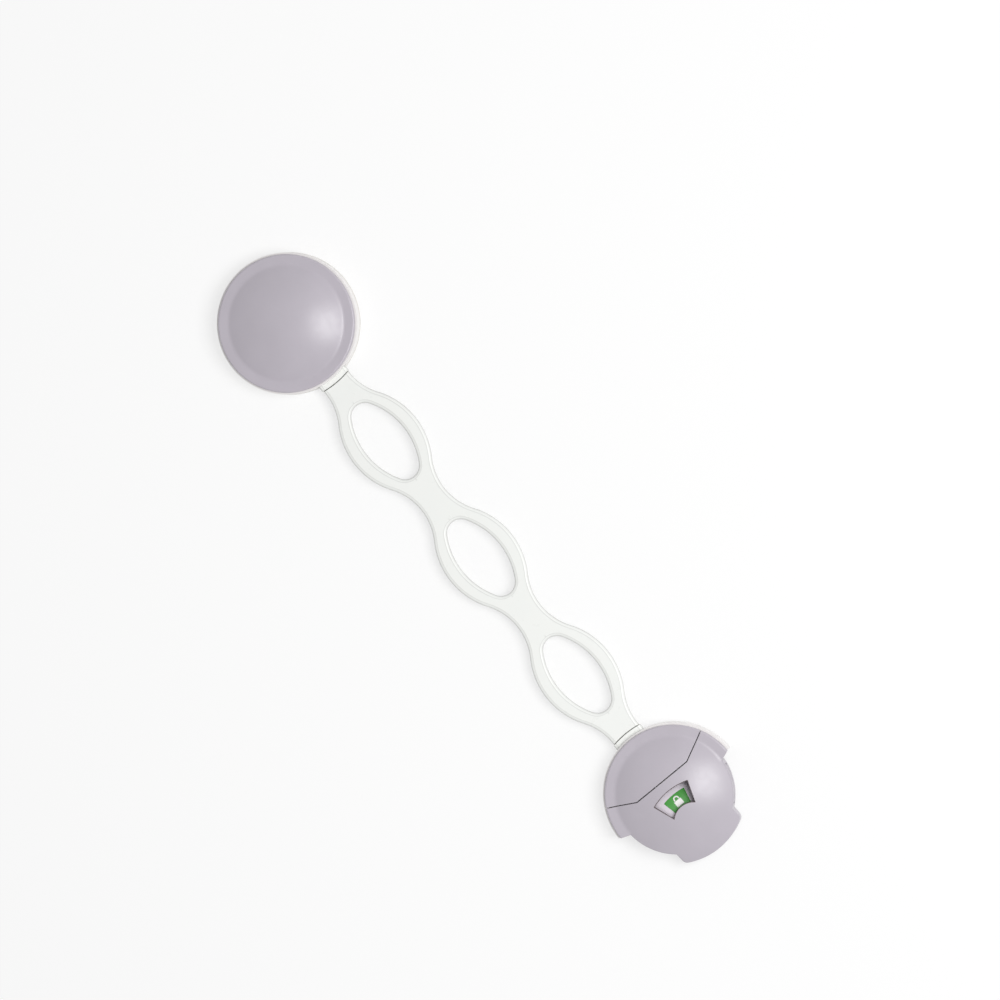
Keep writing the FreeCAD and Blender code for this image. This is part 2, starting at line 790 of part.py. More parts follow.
def rear_cap(shell):
    before = new_body("not_behind_seam")
    pad(before, [seam_plan(1)], "0", "dome")
    window = new_body("window_cut")
    pad(window, [window_outline()], "arm_top", "dome")
    slots = box("button_slots", "button_first - button_gap", "button_last + button_gap", "-2 * disc_radius",
                "2 * disc_radius", "button_low - button_gap", "arm_top + button_gap")
    bare = take_away("rear_shell", shell, [before, window, slots])
    cap = cap_with_bosses("rear_cap", bare, "rear")
    place_at_lock(cap)
    return cap


# ---------------------------------------------------------------- lock end's frame, base and springs


def drum_half(outside_x, outside_y, radius):
    """Two arcs round the strap's side of the lock end, from one end of the drum to the other."""
    return [
        (outside_x, outside_y, radius),
        (f"-({radius})", "0", radius),
        (outside_x, f"-({outside_y})"),
    ]


def head_frame():
    """The white frame of the lock end: a drum by the strap, and a deck that carries everything inside."""
    body = new_body("head_frame")
    pad(body, [("0", "0", "deck_radius")], "deck_low", "deck_top")
    pad(body, [drum_half("drum_end", "drum_end_in", "drum_inside")], "deck_low", "deck_top")
    wall = drum_half("drum_end", "drum_end_out", "drum_radius")
    wall += [
        ("drum_end", "-drum_end_in", "-drum_inside"),
        ("-drum_inside", "0", "-drum_inside"),
        ("drum_end", "drum_end_in"),
    ]
    pad(body, [wall], "skirt_low", "drum_top")
    tongue_end = "tip_radius - cap_wall - tongue_gap"
    tongue_start = "mushroom_radius + 2 * drum_wall"
    pad(body, [rectangle(tongue_start, tongue_end, "-tongue_half_width", "tongue_half_width")],
        "deck_low", "deck_top")
    notch = [
        ("button_first - button_gap", "disc_radius"),
        ("button_first - button_gap", "rib_out + button_gap"),
        ("leaf_apex + leaf_half", "rib_out + button_gap"),
        ("button_last + button_gap", "button_last_y - button_wall - button_travel - button_gap"),
        ("button_last + button_gap", "disc_radius"),
    ]
    pocket(body, [notch, mirrored(notch)], "deck_low", "deck_top")
    pocket(body, [("0", "0", "mushroom_radius + pass_gap")], "deck_low", "deck_top")
    pocket(body, [("cam_x", "cam_y", "cam_radius + pass_gap")], "deck_low", "deck_top")
    slot_half = "neck_width / 2 + tail_gap"
    tail_slot = rectangle("-drum_radius - drum_proud", "tail_gap - tail_start", f"-({slot_half})", slot_half)
    pocket(body, [tail_slot], "strap_low", "strap_top + tail_gap")
    pad(body, peg_outlines(-1), "strap_low - tail_gap", "strap_top + peg_proud")
    sink = "deck_top - tail_gap"
    pad(body, [("-wire_bend", "0", "wire_y - wire_radius - pass_gap")], sink, "neck_top + wire_gap")
    pad(body, [("flag_back", "0", "flag_pin")], sink, "boss_z + flag_boss_high + flag_pin_over")
    rib_ends = ("leaf_apex - leaf_half - rib_thick", "leaf_apex + leaf_half + rib_thick")
    rib = rectangle(*rib_ends, "rib_out - rib_thick", "rib_out")
    pad(body, [rib], sink, "leaf_top")
    pad(body, [mirrored(rib)], sink, "leaf_top")
    anchor = rectangle("wire_end - flag_leaf_thick - arm_thick", "wire_end + flag_leaf_thick",
                       "-tongue_half_width", "-wire_y - 2 * finger_thick")
    pad(body, [anchor], sink, "leaf_top")
    holes = [(x, y, "boss_bore + spigot_gap") for x, y in SCREW_SPOTS.values()]
    pocket(body, holes, "deck_low", "deck_top")
    recesses = [(x, y, "screw_head + spigot_gap") for x, y in SCREW_SPOTS.values()]
    pocket(body, recesses, "deck_low", "deck_low + screw_recess")
    place_at_lock(body)
    return body


def cap_screws():
    """Four small screws that hold both caps down on the deck from below."""
    screws = []
    for name, (x, y) in SCREW_SPOTS.items():
        head_top = "deck_low + screw_recess"
        shank = cylinder(f"{name}_shank", "screw_radius", head_top, f"{head_top} + screw_long", x, y)
        head = cylinder(f"{name}_head", "screw_head", f"{head_top} - screw_head_high", head_top, x, y)
        screws.append(join(f"{name}_screw", [shank, head]))
    group = doc.addObject("Part::Compound", "cap_screws")
    group.Links = screws
    place_at_lock(group)
    return group


def lock_base():
    """The plate that stays glued to the furniture, with its mushroom post and the pin that holds the flag."""
    body = new_body("lock_base")
    turned(body, [
        ("0", "adhesive_thick"),
        ("base_radius", "adhesive_thick"),
        ("base_radius", "base_top - base_chamfer"),
        ("base_radius - base_chamfer", "base_top"),
        ("post_radius + post_root", "base_top", "-post_root"),
        ("post_radius", "base_top + post_root"),
        ("post_radius", "neck_top"),
        ("mushroom_radius", "neck_top"),
        ("mushroom_radius", "neck_top + mushroom_rim"),
        ("mushroom_radius - mushroom_taper", "neck_top + mushroom_high"),
        ("0", "neck_top + mushroom_high"),
    ])
    top = "neck_top + mushroom_high"
    pocket(body, [("0", "0", "post_core")], f"{top} - post_core_deep", top)
    pad(body, [("cam_x", "cam_y", "cam_radius")], "base_top - base_chamfer", "base_top + cam_high")
    place_at_lock(body)
    return body


def latch_spring():
    """A wire hairpin whose legs lie under the mushroom head, one on each side of the post."""
    body = new_body("latch_spring")
    path = body.newObject("Sketcher::SketchObject", "latch_path")
    planes = {found.Role: found for found in body.Origin.OriginFeatures}
    path.AttachmentSupport = [(planes["XY_Plane"], "")]
    path.MapMode = "FlatFace"
    path.setExpression("AttachmentOffset.Base.z", formula("wire_z"))
    end, bend, side = (value(text) for text in ("wire_end", "-wire_bend", "wire_y"))
    far_leg = Part.LineSegment(FreeCAD.Vector(end, side, 0), FreeCAD.Vector(bend, side, 0))
    loop = arc_between(FreeCAD.Vector(bend, side, 0), FreeCAD.Vector(bend, -side, 0), side)
    near_leg = Part.LineSegment(FreeCAD.Vector(bend, -side, 0), FreeCAD.Vector(end, -side, 0))
    edges = [path.addGeometry(edge, False) for edge in (far_leg, loop, near_leg)]
    path.addConstraint(Sketcher.Constraint("Coincident", edges[0], 2, edges[1], 1))
    path.addConstraint(Sketcher.Constraint("Coincident", edges[1], 2, edges[2], 1))
    pin_point(path, edges[0], 1, "wire_end", "wire_y")
    pin_point(path, edges[0], 2, "-wire_bend", "wire_y")
    held = path.addConstraint(Sketcher.Constraint("DistanceX", -1, 1, edges[1], 3, bend))
    path.setExpression(f"Constraints[{held}]", formula("-wire_bend"))
    pin_point(path, edges[2], 1, "-wire_bend", "-wire_y")
    pin_point(path, edges[2], 2, "wire_end", "-wire_y")
    section = new_sketch(body, "YZ_Plane", [("wire_y", "wire_z", "wire_radius")], "wire_end")
    doc.recompute()
    wire = body.newObject("PartDesign::AdditivePipe", "latch_wire")
    wire.Profile = section
    wire.Spine = (path, ["Edge1", "Edge2", "Edge3"])
    doc.recompute()
    place_at_lock(body)
    return body


def side_button(label, arm_start, side):
    """A finger button in a recess. Its arm crosses the near leg of the wire and pushes the far leg out."""
    body = new_body(label)
    panel = [
        ("button_first", "button_first_y - button_wall"),
        ("button_last", "button_last_y - button_wall"),
        ("button_last", "button_last_y", "recess_bulge"),
        ("button_first", "button_first_y"),
    ]
    arm_end = f"{arm_start} + arm_width"
    root_y = f"button_first_y - button_wall / 2 - button_slope * ({arm_start} + arm_width / 2 - button_first)"
    arm = rectangle(arm_start, arm_end, "-finger_y", root_y)
    finger = rectangle(arm_start, arm_end, "-finger_y", "finger_thick - finger_y")
    if side < 0:
        panel, arm, finger = mirrored(panel), mirrored(arm), mirrored(finger)
    pad(body, [panel], "button_low", "arm_top")
    pad(body, [arm], "arm_low", "arm_top")
    pad(body, [finger], "wire_z - wire_radius", "arm_top")
    place_at_lock(body)
    return body


def return_spring(label, side):
    """A bent leaf between a rib of the deck and a button."""
    body = new_body(label)
    foot = "rib_out + wire_gap"
    apex = "button_first_y - button_wall - button_slope * (leaf_apex - button_first) - wire_gap"
    leaf = [
        ("leaf_apex - leaf_half", foot),
        ("leaf_apex - leaf_half + leaf_foot", foot),
        ("leaf_apex", f"{apex} - leaf_foot - leaf_thick / 4"),
        ("leaf_apex + leaf_half - leaf_foot", foot),
        ("leaf_apex + leaf_half", foot),
        ("leaf_apex", apex),
    ]
    pad(body, [leaf if side > 0 else mirrored(leaf)], "leaf_low", "leaf_top")
    place_at_lock(body)
    return body


# ---------------------------------------------------------------- indicator flag


def sector(far, near, first_angle, last_angle):
    """A slice of a ring about the flag's pivot. Angles start towards the strap and grow towards +Y."""
    def spot(radius, angle):
        return f"flag_back - ({radius}) * cos({angle})", f"({radius}) * sin({angle})"
    return [
        (*spot(far, last_angle), f"{far}"),
        spot(far, first_angle),
        (*spot(near, first_angle), f"-({near})"),
        spot(near, last_angle),
    ]


def roof(name, radius):
    """What stays under the dome at both ends of the flag's swing."""
    return overlap(name, ball(f"{name}_rest", radius), ball(f"{name}_swung", radius, "swing_x", "swing_y"))


def domed_slice(name, outline, high, low, trimmed=False):
    """A slice of a ring about the flag's pivot that lies between two roofs."""
    block = new_body(f"{name}_block")
    pad(block, [outline], "arm_top", "dome")
    if trimmed:
        wide = "2 * disc_radius"
        for x, y in (("0", "0"), ("swing_x", "swing_y")):
            pocket(block, [(x, y, wide), (x, y, "flag_clear")], "arm_top", "dome")
    lid = overlap(f"{name}_lid", block, roof(f"{name}_top", high))
    return take_away(name, lid, [roof(f"{name}_under", low)])


def flag_arm():
    """The flag: a domed plate under the window, on a rising stem that turns about the deck's pin."""
    first = "-flag_swing - window_half_angle - flag_margin"
    outline = sector("flag_far", "flag_near", first, "window_half_angle + flag_margin")
    plate = domed_slice("flag_plate", outline, "flag_roof", "flag_roof - flag_thick", trimmed=True)
    stem = new_body("flag_stem")
    side_pad(stem, [[
        ("flag_back - flag_boss / 2", "boss_z"),
        ("flag_back - flag_boss / 2", "boss_z + flag_boss_high"),
        ("flag_back - ramp_reach", "ramp_top"),
        ("flag_back - stem_reach", "stem_top"),
        ("flag_back - stem_reach", "stem_top - flag_thick"),
        ("flag_back - ramp_reach - flag_thick / 2", "ramp_top - flag_thick"),
        ("flag_back - flag_boss - flag_thick", "boss_z"),
    ]], "2 * lever_half_width")
    pad(stem, [("flag_back", "0", "flag_boss")], "boss_z", "boss_z + flag_boss_high")
    lever_ends = ("flag_back - lever_reach", "flag_back - flag_boss / 2")
    lever = rectangle(*lever_ends, "-lever_half_width", "lever_half_width")
    pad(stem, [lever], "boss_z", "boss_z + lever_high")
    pocket(stem, [("flag_back", "0", "flag_pin + flag_pin_gap")], "boss_z", "boss_z + flag_boss_high")
    arm = join("flag_arm", [plate, stem])
    place_at_lock(arm)
    return arm


def flag_label(label, middle_angle):
    """A coloured film on the flag."""
    outline = sector("label_far", "label_near", f"{middle_angle} - label_half_angle",
                     f"{middle_angle} + label_half_angle")
    film = domed_slice(label, outline, "flag_roof + label_thick", "flag_roof")
    place_at_lock(film)
    return film


def flag_return_spring():
    """A straight leaf from its anchor on the deck to the flag's lever."""
    body = new_body("flag_return_spring")
    foot_y = "-wire_y - 2 * finger_thick + leaf_seat_gap"
    tip_y = "-lever_half_width - wire_gap"
    pad(body, [[
        ("wire_end", foot_y),
        ("wire_end + flag_leaf_thick", foot_y),
        ("cam_x + flag_leaf_thick", tip_y),
        ("cam_x", tip_y),
    ]], "boss_z", "leaf_top")
    place_at_lock(body)
    return body


# ---------------------------------------------------------------- assembly

shell = lock_shell()
NODES = [
    disc_pad("fixed_pad", "drum_radius + adhesive_proud"),
    fixed_base(),
    fixed_cap(),
    strap_tail("strap_fixed_tail", 1),
    strap_link("strap_link_1", "hinge_offset + 0.5 * eye_spacing", "fold", "cup"),
    strap_link("strap_link_2", "hinge_offset + 1.5 * eye_spacing", "nose", "cup"),
    strap_link("strap_link_3", "hinge_offset + 2.5 * eye_spacing", "nose", "fold"),
    strap_tail("strap_lock_tail", -1),
    head_frame(),
    front_cap(shell),
    rear_cap(shell),
    cap_screws(),
    lock_base(),
    disc_pad("lock_pad", "base_radius - adhesive_inset"),
    latch_spring(),
    side_button("left_button", "left_arm_start", 1),
    side_button("right_button", "right_arm_start", -1),
    return_spring("left_return_spring", 1),
    return_spring("right_return_spring", -1),
    flag_arm(),
    flag_label("flag_green_label", "0"),
    flag_label("flag_red_label", "-flag_swing"),
    flag_return_spring(),
]
place_at_lock(doc.getObject("lock_pad"))
doc.recompute()

for item in doc.Objects:
    if {"Invalid", "Error"} & set(item.State):
        raise RuntimeError(f"{item.Name} is {item.State}")
os.makedirs("parts", exist_ok=True)
for item in NODES:
    if item.Shape.isNull() or not item.Shape.isValid() or not item.Shape.Solids:
        raise RuntimeError(f"{item.Label} has no sound solid")
    item.Shape.exportStep(f"parts/{item.Label}.step")
    print(f"{item.Label}: {len(item.Shape.Solids)} solid, {item.Shape.Volume:.1f} mm3")
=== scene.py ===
import json
import math

import bmesh
import bpy
from mathutils import Euler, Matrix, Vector


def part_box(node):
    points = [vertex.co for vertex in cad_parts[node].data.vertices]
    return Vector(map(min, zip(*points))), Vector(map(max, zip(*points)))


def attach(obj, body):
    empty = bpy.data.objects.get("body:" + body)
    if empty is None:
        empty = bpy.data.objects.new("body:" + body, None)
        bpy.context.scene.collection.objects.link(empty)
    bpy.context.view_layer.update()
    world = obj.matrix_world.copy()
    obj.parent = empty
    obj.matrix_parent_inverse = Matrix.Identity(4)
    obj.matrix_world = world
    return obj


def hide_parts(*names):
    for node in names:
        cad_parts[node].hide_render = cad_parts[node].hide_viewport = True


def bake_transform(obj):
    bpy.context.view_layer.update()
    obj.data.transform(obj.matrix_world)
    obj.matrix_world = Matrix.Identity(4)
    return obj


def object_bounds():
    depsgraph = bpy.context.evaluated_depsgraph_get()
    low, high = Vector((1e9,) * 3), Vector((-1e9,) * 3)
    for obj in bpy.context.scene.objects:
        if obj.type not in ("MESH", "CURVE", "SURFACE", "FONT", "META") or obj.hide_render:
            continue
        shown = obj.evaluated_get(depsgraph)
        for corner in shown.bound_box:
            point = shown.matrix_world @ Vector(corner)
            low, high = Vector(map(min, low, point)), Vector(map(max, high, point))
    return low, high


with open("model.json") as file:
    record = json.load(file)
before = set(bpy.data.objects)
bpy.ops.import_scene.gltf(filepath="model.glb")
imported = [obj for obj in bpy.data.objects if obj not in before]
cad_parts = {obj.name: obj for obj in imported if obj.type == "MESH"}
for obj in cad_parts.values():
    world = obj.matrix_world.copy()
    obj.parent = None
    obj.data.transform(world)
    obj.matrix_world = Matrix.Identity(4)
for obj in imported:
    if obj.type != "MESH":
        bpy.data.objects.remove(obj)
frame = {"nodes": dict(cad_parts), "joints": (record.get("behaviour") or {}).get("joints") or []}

# The looks of a strap lock for a cabinet door: a milky strap with three oval eyes between a round fixed end
# and a lock end with a small window. Metres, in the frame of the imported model.

CAD_BOX = [list(corner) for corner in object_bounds()]
MM = 0.001

# ---------------------------------------------------------------- places read from the frame

JOINTS = {joint["name"]: joint for joint in frame["joints"]}
FOLD_NEAR = JOINTS["fixed_end_fold"]["pos_m"][0]
FLEX_1 = JOINTS["strap_flex_1"]["pos_m"][0]
FLEX_2 = JOINTS["strap_flex_2"]["pos_m"][0]
FLAG_PIVOT = Vector(JOINTS["flag_swing"]["pos_m"])
FLAG_TURN = math.radians(JOINTS["flag_swing"]["range_deg"][1])
LOCK_X = (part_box("lock_pad")[0].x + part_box("lock_pad")[1].x) / 2  # the lock end's centre
LINK_LOW, LINK_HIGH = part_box("strap_link_2")
STRAP_LOW = LINK_LOW.z
STRAP_THICK = LINK_HIGH.z - LINK_LOW.z
EYE_SPACING = FLEX_2 - FLEX_1
EYE_CENTRES = [FLEX_1 - EYE_SPACING / 2, FLEX_1 + EYE_SPACING / 2, FLEX_2 + EYE_SPACING / 2]
HALF_EYE = EYE_SPACING / 2
EYE_HALF_WIDTH = LINK_HIGH.y

# ---------------------------------------------------------------- driving sizes

WAIST_HALF = 5.3 * MM
NECK_HALF = 5.65 * MM
EYE_BULGE = 25.0 * MM
HOLE_HALF_LENGTH = 14.85 * MM
HOLE_HALF_WIDTH = 7.5 * MM
HOLE_END = 4.6 * MM
LINE_WIDE = 0.35 * MM  # the fine line of painted shade where the strap's flat meets its rounded edge
SHADE_LINE = 0.12  # the painted shade attribute's value on that line and half-way down the edge, from 0 to 1
SHADE_SIDE = 0.85
GROOVE_START = 0.04 * MM  # from the fold line towards the disc, to the next value
GROOVE_WIDE = 0.4 * MM
GROOVE_SLOPE = 0.02 * MM
GROOVE_WEB = 0.8 * MM  # what is left of the strap's thickness under a groove
GROOVE_CURVE = 0.5 * MM  # the groove runs round the disc, so its ends lie this much nearer to it
EDGE_SOFT = 0.18 * MM  # radius of the moulded edges
PAD_BULGE = 0.12 * MM  # how far the foam's cut side curves out
SCREW_RADIUS = 1.0 * MM
SCREW_HEAD = 1.9 * MM
SCREW_HEAD_HIGH = 0.7 * MM
SCREW_HEAD_ROUND = 0.18 * MM
SCREW_HEAD_EDGE = 0.08 * MM
THREAD_PITCH = 0.8 * MM
THREAD_DEEP = 0.22 * MM
CROSS_WIDE = 0.42 * MM
CROSS_REACH = 1.05 * MM
CROSS_DEEP = 0.45 * MM
CROSS_TAPER = 0.8  # the size of the recess's floor against its opening
WIRE_RADIUS = 0.5 * MM
LEAF_THICK = 0.3 * MM
DOME_Z = -25.1 * MM  # the middle of the caps' domes
ROOF_RADIUS = 36.88 * MM  # of the dome that the flag's labels lie under

# The window and the flag are measured from the flag's pivot.
WINDOW_MIDDLE = FLAG_PIVOT + Vector((-17.0 * MM, 0, 7.0 * MM))
WINDOW_REACH = 9.5 * MM  # a ball about its middle that holds all its walls
WINDOW_HALF = math.radians(19.5)
WINDOW_FAR = 20.65 * MM
WINDOW_NEAR = 13.3 * MM
WINDOW_INNER = 6.5 * MM  # radius of the window's inner side
WINDOW_INNER_BACK = 7.79 * MM  # from the flag's pivot to the middle of that side's circle
# Width of the painted shadow line round the window.
WINDOW_SHADOW_LINE = 0.2 * MM
WALL_RISE = 0.5  # a face is a wall of the window, and gets painted shade, where its normal rises by less than this
FACE_HALF = math.radians(22.5)
FACE_NEAR = 12.8 * MM
FACE_FAR = 21.2 * MM
FACE_LIFT = 0.08 * MM
FACE_THICK = 0.2 * MM
SIGN_SCALE = 1.2 * MM
SIGN_PLACE = 16.6 * MM
SIGN_LIFT = 0.02 * MM

CAMERA_TURN = (-2.017, 7.361, 50.191)  # degrees
CAMERA_BACK = Vector((0.0687, -0.05786, 1.63906))  # the camera from the origin, along its own axes
CAMERA_LENS = 180.0
CAMERA_SENSOR = 36.0


def srgb(red, green, blue):
    """A linear colour from three numbers out of 255."""
    def linear(level):
        share = level / 255
        return share / 12.92 if share <= 0.04045 else ((share + 0.055) / 1.055) ** 2.4
    return (linear(red), linear(green), linear(blue), 1.0)


def scaled(colour, factor):
    return tuple(min(level * factor, 1.0) for level in colour[:3]) + (1.0,)


# ---------------------------------------------------------------- materials

LILAC = srgb(184, 178, 187)
# Painted shade for the window's walls and the line round it.
WINDOW_SHADE = srgb(78, 60, 62)
CAP_SHEEN = {"rough": (0.31, 0.35), "Specular IOR Level": 0.68}


def add_node(tree, kind, sockets=None, **settings):
    """A shader node. A socket takes a number or colour, or the output that is linked to it."""
    node = tree.nodes.new(kind)
    for name, setting in settings.items():
        setattr(node, name, setting)
    for name, content in (sockets or {}).items():
        if isinstance(content, bpy.types.NodeSocket):
            tree.links.new(content, node.inputs[name])
        else:
            node.inputs[name].default_value = content
    return node


def new_material(name, sockets):
    """A material with a Principled shader, its sockets set, and the coordinates of the piece's own space."""
    material = bpy.data.materials.new(name)
    material.use_nodes = True
    tree = material.node_tree
    shader = tree.nodes["Principled BSDF"]
    for socket, content in sockets.items():
        shader.inputs[socket].default_value = content
    coords = add_node(tree, "ShaderNodeTexCoord").outputs["Object"]
    return material, tree, shader, coords


def maths(tree, operation, *numbers):
    sockets = dict(enumerate(numbers))
    return add_node(tree, "ShaderNodeMath", sockets, operation=operation).outputs["Value"]


def noise(tree, coords, scale, detail=3.0):
    node = add_node(tree, "ShaderNodeTexNoise", {"Vector": coords, "Scale": scale, "Detail": detail})
    return node.outputs["Fac"]


def spread(tree, factor, low, high):
    """The middle of a noise's range, spread from low to high."""
    sockets = {"Value": factor, "From Min": 0.3, "From Max": 0.7, "To Min": low, "To Max": high}
    return add_node(tree, "ShaderNodeMapRange", sockets).outputs["Result"]


def mix_colour(tree, factor, one, other):
    node = add_node(tree, "ShaderNodeMix", data_type="RGBA")
    tree.links.new(factor, node.inputs["Factor"])
    for socket, colour in zip((node.inputs[6], node.inputs[7]), (one, other)):
        if isinstance(colour, bpy.types.NodeSocket):
            tree.links.new(colour, socket)
        else:
            socket.default_value = colour
    return node.outputs[2]


def moulded(name, colour, rough=(0.34, 0.44), mottle=0.03, grain=0.05, **sockets):
    """Injection-moulded plastic: a clouded colour, an uneven sheen, a fine grain and softened edges."""
    material, tree, shader, coords = new_material(name, sockets)
    clouds = spread(tree, noise(tree, coords, 70.0), 0.0, 1.0)
    flow = spread(tree, noise(tree, coords, 420.0, 5.0), 0.0, 1.0)
    base = mix_colour(tree, clouds, scaled(colour, 1 - mottle), scaled(colour, 1 + mottle))
    tree.links.new(base, shader.inputs["Base Color"])
    tree.links.new(spread(tree, flow, *rough), shader.inputs["Roughness"])
    fine = noise(tree, coords, 5200.0, 2.0)
    soft = add_node(tree, "ShaderNodeBevel", {"Radius": EDGE_SOFT}, samples=6)
    bump = add_node(tree, "ShaderNodeBump", {"Height": fine, "Strength": grain, "Distance": 0.05 * MM,
                                             "Normal": soft.outputs["Normal"]})
    tree.links.new(bump.outputs["Normal"], shader.inputs["Normal"])
    return material


def milky_strap():
    """Milky plastic, with painted shade read from the strap's attribute: greyer down its rounded edges and on
    a fine line where they meet the flat, standing for how light passes the rim of a clear sheet, and darkest
    in the fold grooves.
    """
    material, tree, shader, coords = new_material("milky_strap", {"IOR": 1.47})
    edge_shade = add_node(tree, "ShaderNodeAttribute", attribute_name="edge_shade").outputs["Fac"]
    ramp = add_node(tree, "ShaderNodeValToRGB", {"Fac": edge_shade})
    milk = srgb(244, 245, 242)
    # Painted shade: a darker fine line, a darker rounded side and the darkest fold grooves.
    stops = [(0.0, milk), (SHADE_LINE, srgb(219, 220, 217)), (0.28, srgb(245, 246, 243)),
             (0.6, srgb(235, 236, 233)), (SHADE_SIDE, srgb(200, 200, 197)), (1.0, srgb(168, 165, 159))]
    while len(ramp.color_ramp.elements) < len(stops):
        ramp.color_ramp.elements.new(0.5)
    for element, (place, colour) in zip(ramp.color_ramp.elements, stops):
        element.position = place
        element.color = colour
    clouds = spread(tree, noise(tree, coords, 110.0, 4.0), 0.0, 0.35)
    base = mix_colour(tree, clouds, ramp.outputs["Color"], srgb(241, 244, 241))
    tree.links.new(base, shader.inputs["Base Color"])
    tree.links.new(spread(tree, noise(tree, coords, 300.0), 0.26, 0.4), shader.inputs["Roughness"])
    ripple = noise(tree, coords, 260.0, 2.0)
    bump = add_node(tree, "ShaderNodeBump", {"Height": ripple, "Strength": 0.06, "Distance": 0.1 * MM})
    tree.links.new(bump.outputs["Normal"], shader.inputs["Normal"])
    return material


def foam(name, colour):
    """Closed-cell adhesive foam: small pores, and no gloss."""
    material, tree, shader, coords = new_material(name, {"Specular IOR Level": 0.25})
    pores = add_node(tree, "ShaderNodeTexVoronoi", {"Vector": coords, "Scale": 1900.0}).outputs["Distance"]
    cells = spread(tree, pores, 0.0, 1.0)
    base = mix_colour(tree, cells, scaled(colour, 0.92), colour)
    tree.links.new(base, shader.inputs["Base Color"])
    tree.links.new(spread(tree, noise(tree, coords, 500.0), 0.75, 0.95), shader.inputs["Roughness"])
    bump = add_node(tree, "ShaderNodeBump", {"Height": cells, "Strength": 0.5, "Distance": 0.15 * MM})
    tree.links.new(bump.outputs["Normal"], shader.inputs["Normal"])
    return material


def steel(name, colour, rough):
    """Bright wire or plated steel with fine drawing marks."""
    material, tree, shader, coords = new_material(name, {"Metallic": 1.0})
    stretched = add_node(tree, "ShaderNodeMapping", {"Vector": coords, "Scale": (300.0, 6000.0, 6000.0)})
    marks = noise(tree, stretched.outputs["Vector"], 1.0, 3.0)
    base = mix_colour(tree, spread(tree, marks, 0.0, 1.0), scaled(colour, 0.85), colour)
    tree.links.new(base, shader.inputs["Base Color"])
    tree.links.new(spread(tree, marks, *rough), shader.inputs["Roughness"])
    return material


def window_shadow_line(tree, coords):
    """1 on a fine line round the window, a painted shadow for the shadowed gap under the cap's edge, and 0
    elsewhere, worked out about the flag's pivot.
    """
    def both(one, other):
        return maths(tree, "MULTIPLY", one, other)

    def distance(x, y):
        return maths(tree, "SQRT", maths(tree, "ADD", both(x, x), both(y, y)))

    moved = add_node(tree, "ShaderNodeVectorMath", {0: coords, 1: tuple(FLAG_PIVOT)}, operation="SUBTRACT")
    parts = add_node(tree, "ShaderNodeSeparateXYZ", {"Vector": moved.outputs["Vector"]})
    x, y = parts.outputs["X"], parts.outputs["Y"]
    turn = maths(tree, "ABSOLUTE", maths(tree, "ARCTAN2", y, both(x, -1.0)))
    line_turn = WINDOW_SHADOW_LINE / WINDOW_FAR
    reach = distance(x, y)
    inner = distance(maths(tree, "ADD", x, WINDOW_INNER_BACK), y)
    past_near = maths(tree, "GREATER_THAN", reach, WINDOW_NEAR - WINDOW_SHADOW_LINE)
    far = both(maths(tree, "COMPARE", reach, WINDOW_FAR, WINDOW_SHADOW_LINE),
               maths(tree, "LESS_THAN", turn, WINDOW_HALF + line_turn))
    side = both(maths(tree, "COMPARE", turn, WINDOW_HALF, line_turn),
                both(maths(tree, "LESS_THAN", reach, WINDOW_FAR + WINDOW_SHADOW_LINE), past_near))
    near = both(maths(tree, "COMPARE", inner, WINDOW_INNER, WINDOW_SHADOW_LINE),
                both(maths(tree, "LESS_THAN", turn, WINDOW_HALF + line_turn), past_near))
    return maths(tree, "MAXIMUM", maths(tree, "MAXIMUM", far, side), near)


def shaded_window_cap(colour):
    """The cap's plastic, with painted shade on the steep walls of its window and a painted shadow line round
    it, standing for the shadowed gap between the cap and the flag. What is steep is told by the cap's own
    axes, so that it holds where a joint has turned the cap."""
    material = moulded("lilac_window_cap", colour, **CAP_SHEEN)
    tree = material.node_tree
    shader = tree.nodes["Principled BSDF"]
    base = shader.inputs["Base Color"].links[0].from_socket
    coords = add_node(tree, "ShaderNodeTexCoord").outputs["Object"]
    away = add_node(tree, "ShaderNodeVectorMath", {0: coords, 1: tuple(WINDOW_MIDDLE)}, operation="DISTANCE")
    near = maths(tree, "LESS_THAN", away.outputs["Value"], WINDOW_REACH)
    flat = add_node(tree, "ShaderNodeNewGeometry").outputs["True Normal"]
    own = add_node(tree, "ShaderNodeVectorTransform", {"Vector": flat}, vector_type="NORMAL",
                   convert_from="WORLD", convert_to="OBJECT").outputs["Vector"]
    rise = add_node(tree, "ShaderNodeSeparateXYZ", {"Vector": own}).outputs["Z"]
    # Painted shade on the window's walls and on the line round it.
    walls = maths(tree, "MULTIPLY", near, maths(tree, "LESS_THAN", rise, WALL_RISE))
    painted_shade = maths(tree, "MAXIMUM", walls, window_shadow_line(tree, coords))
    tree.links.new(mix_colour(tree, painted_shade, base, WINDOW_SHADE), shader.inputs["Base Color"])
    return material


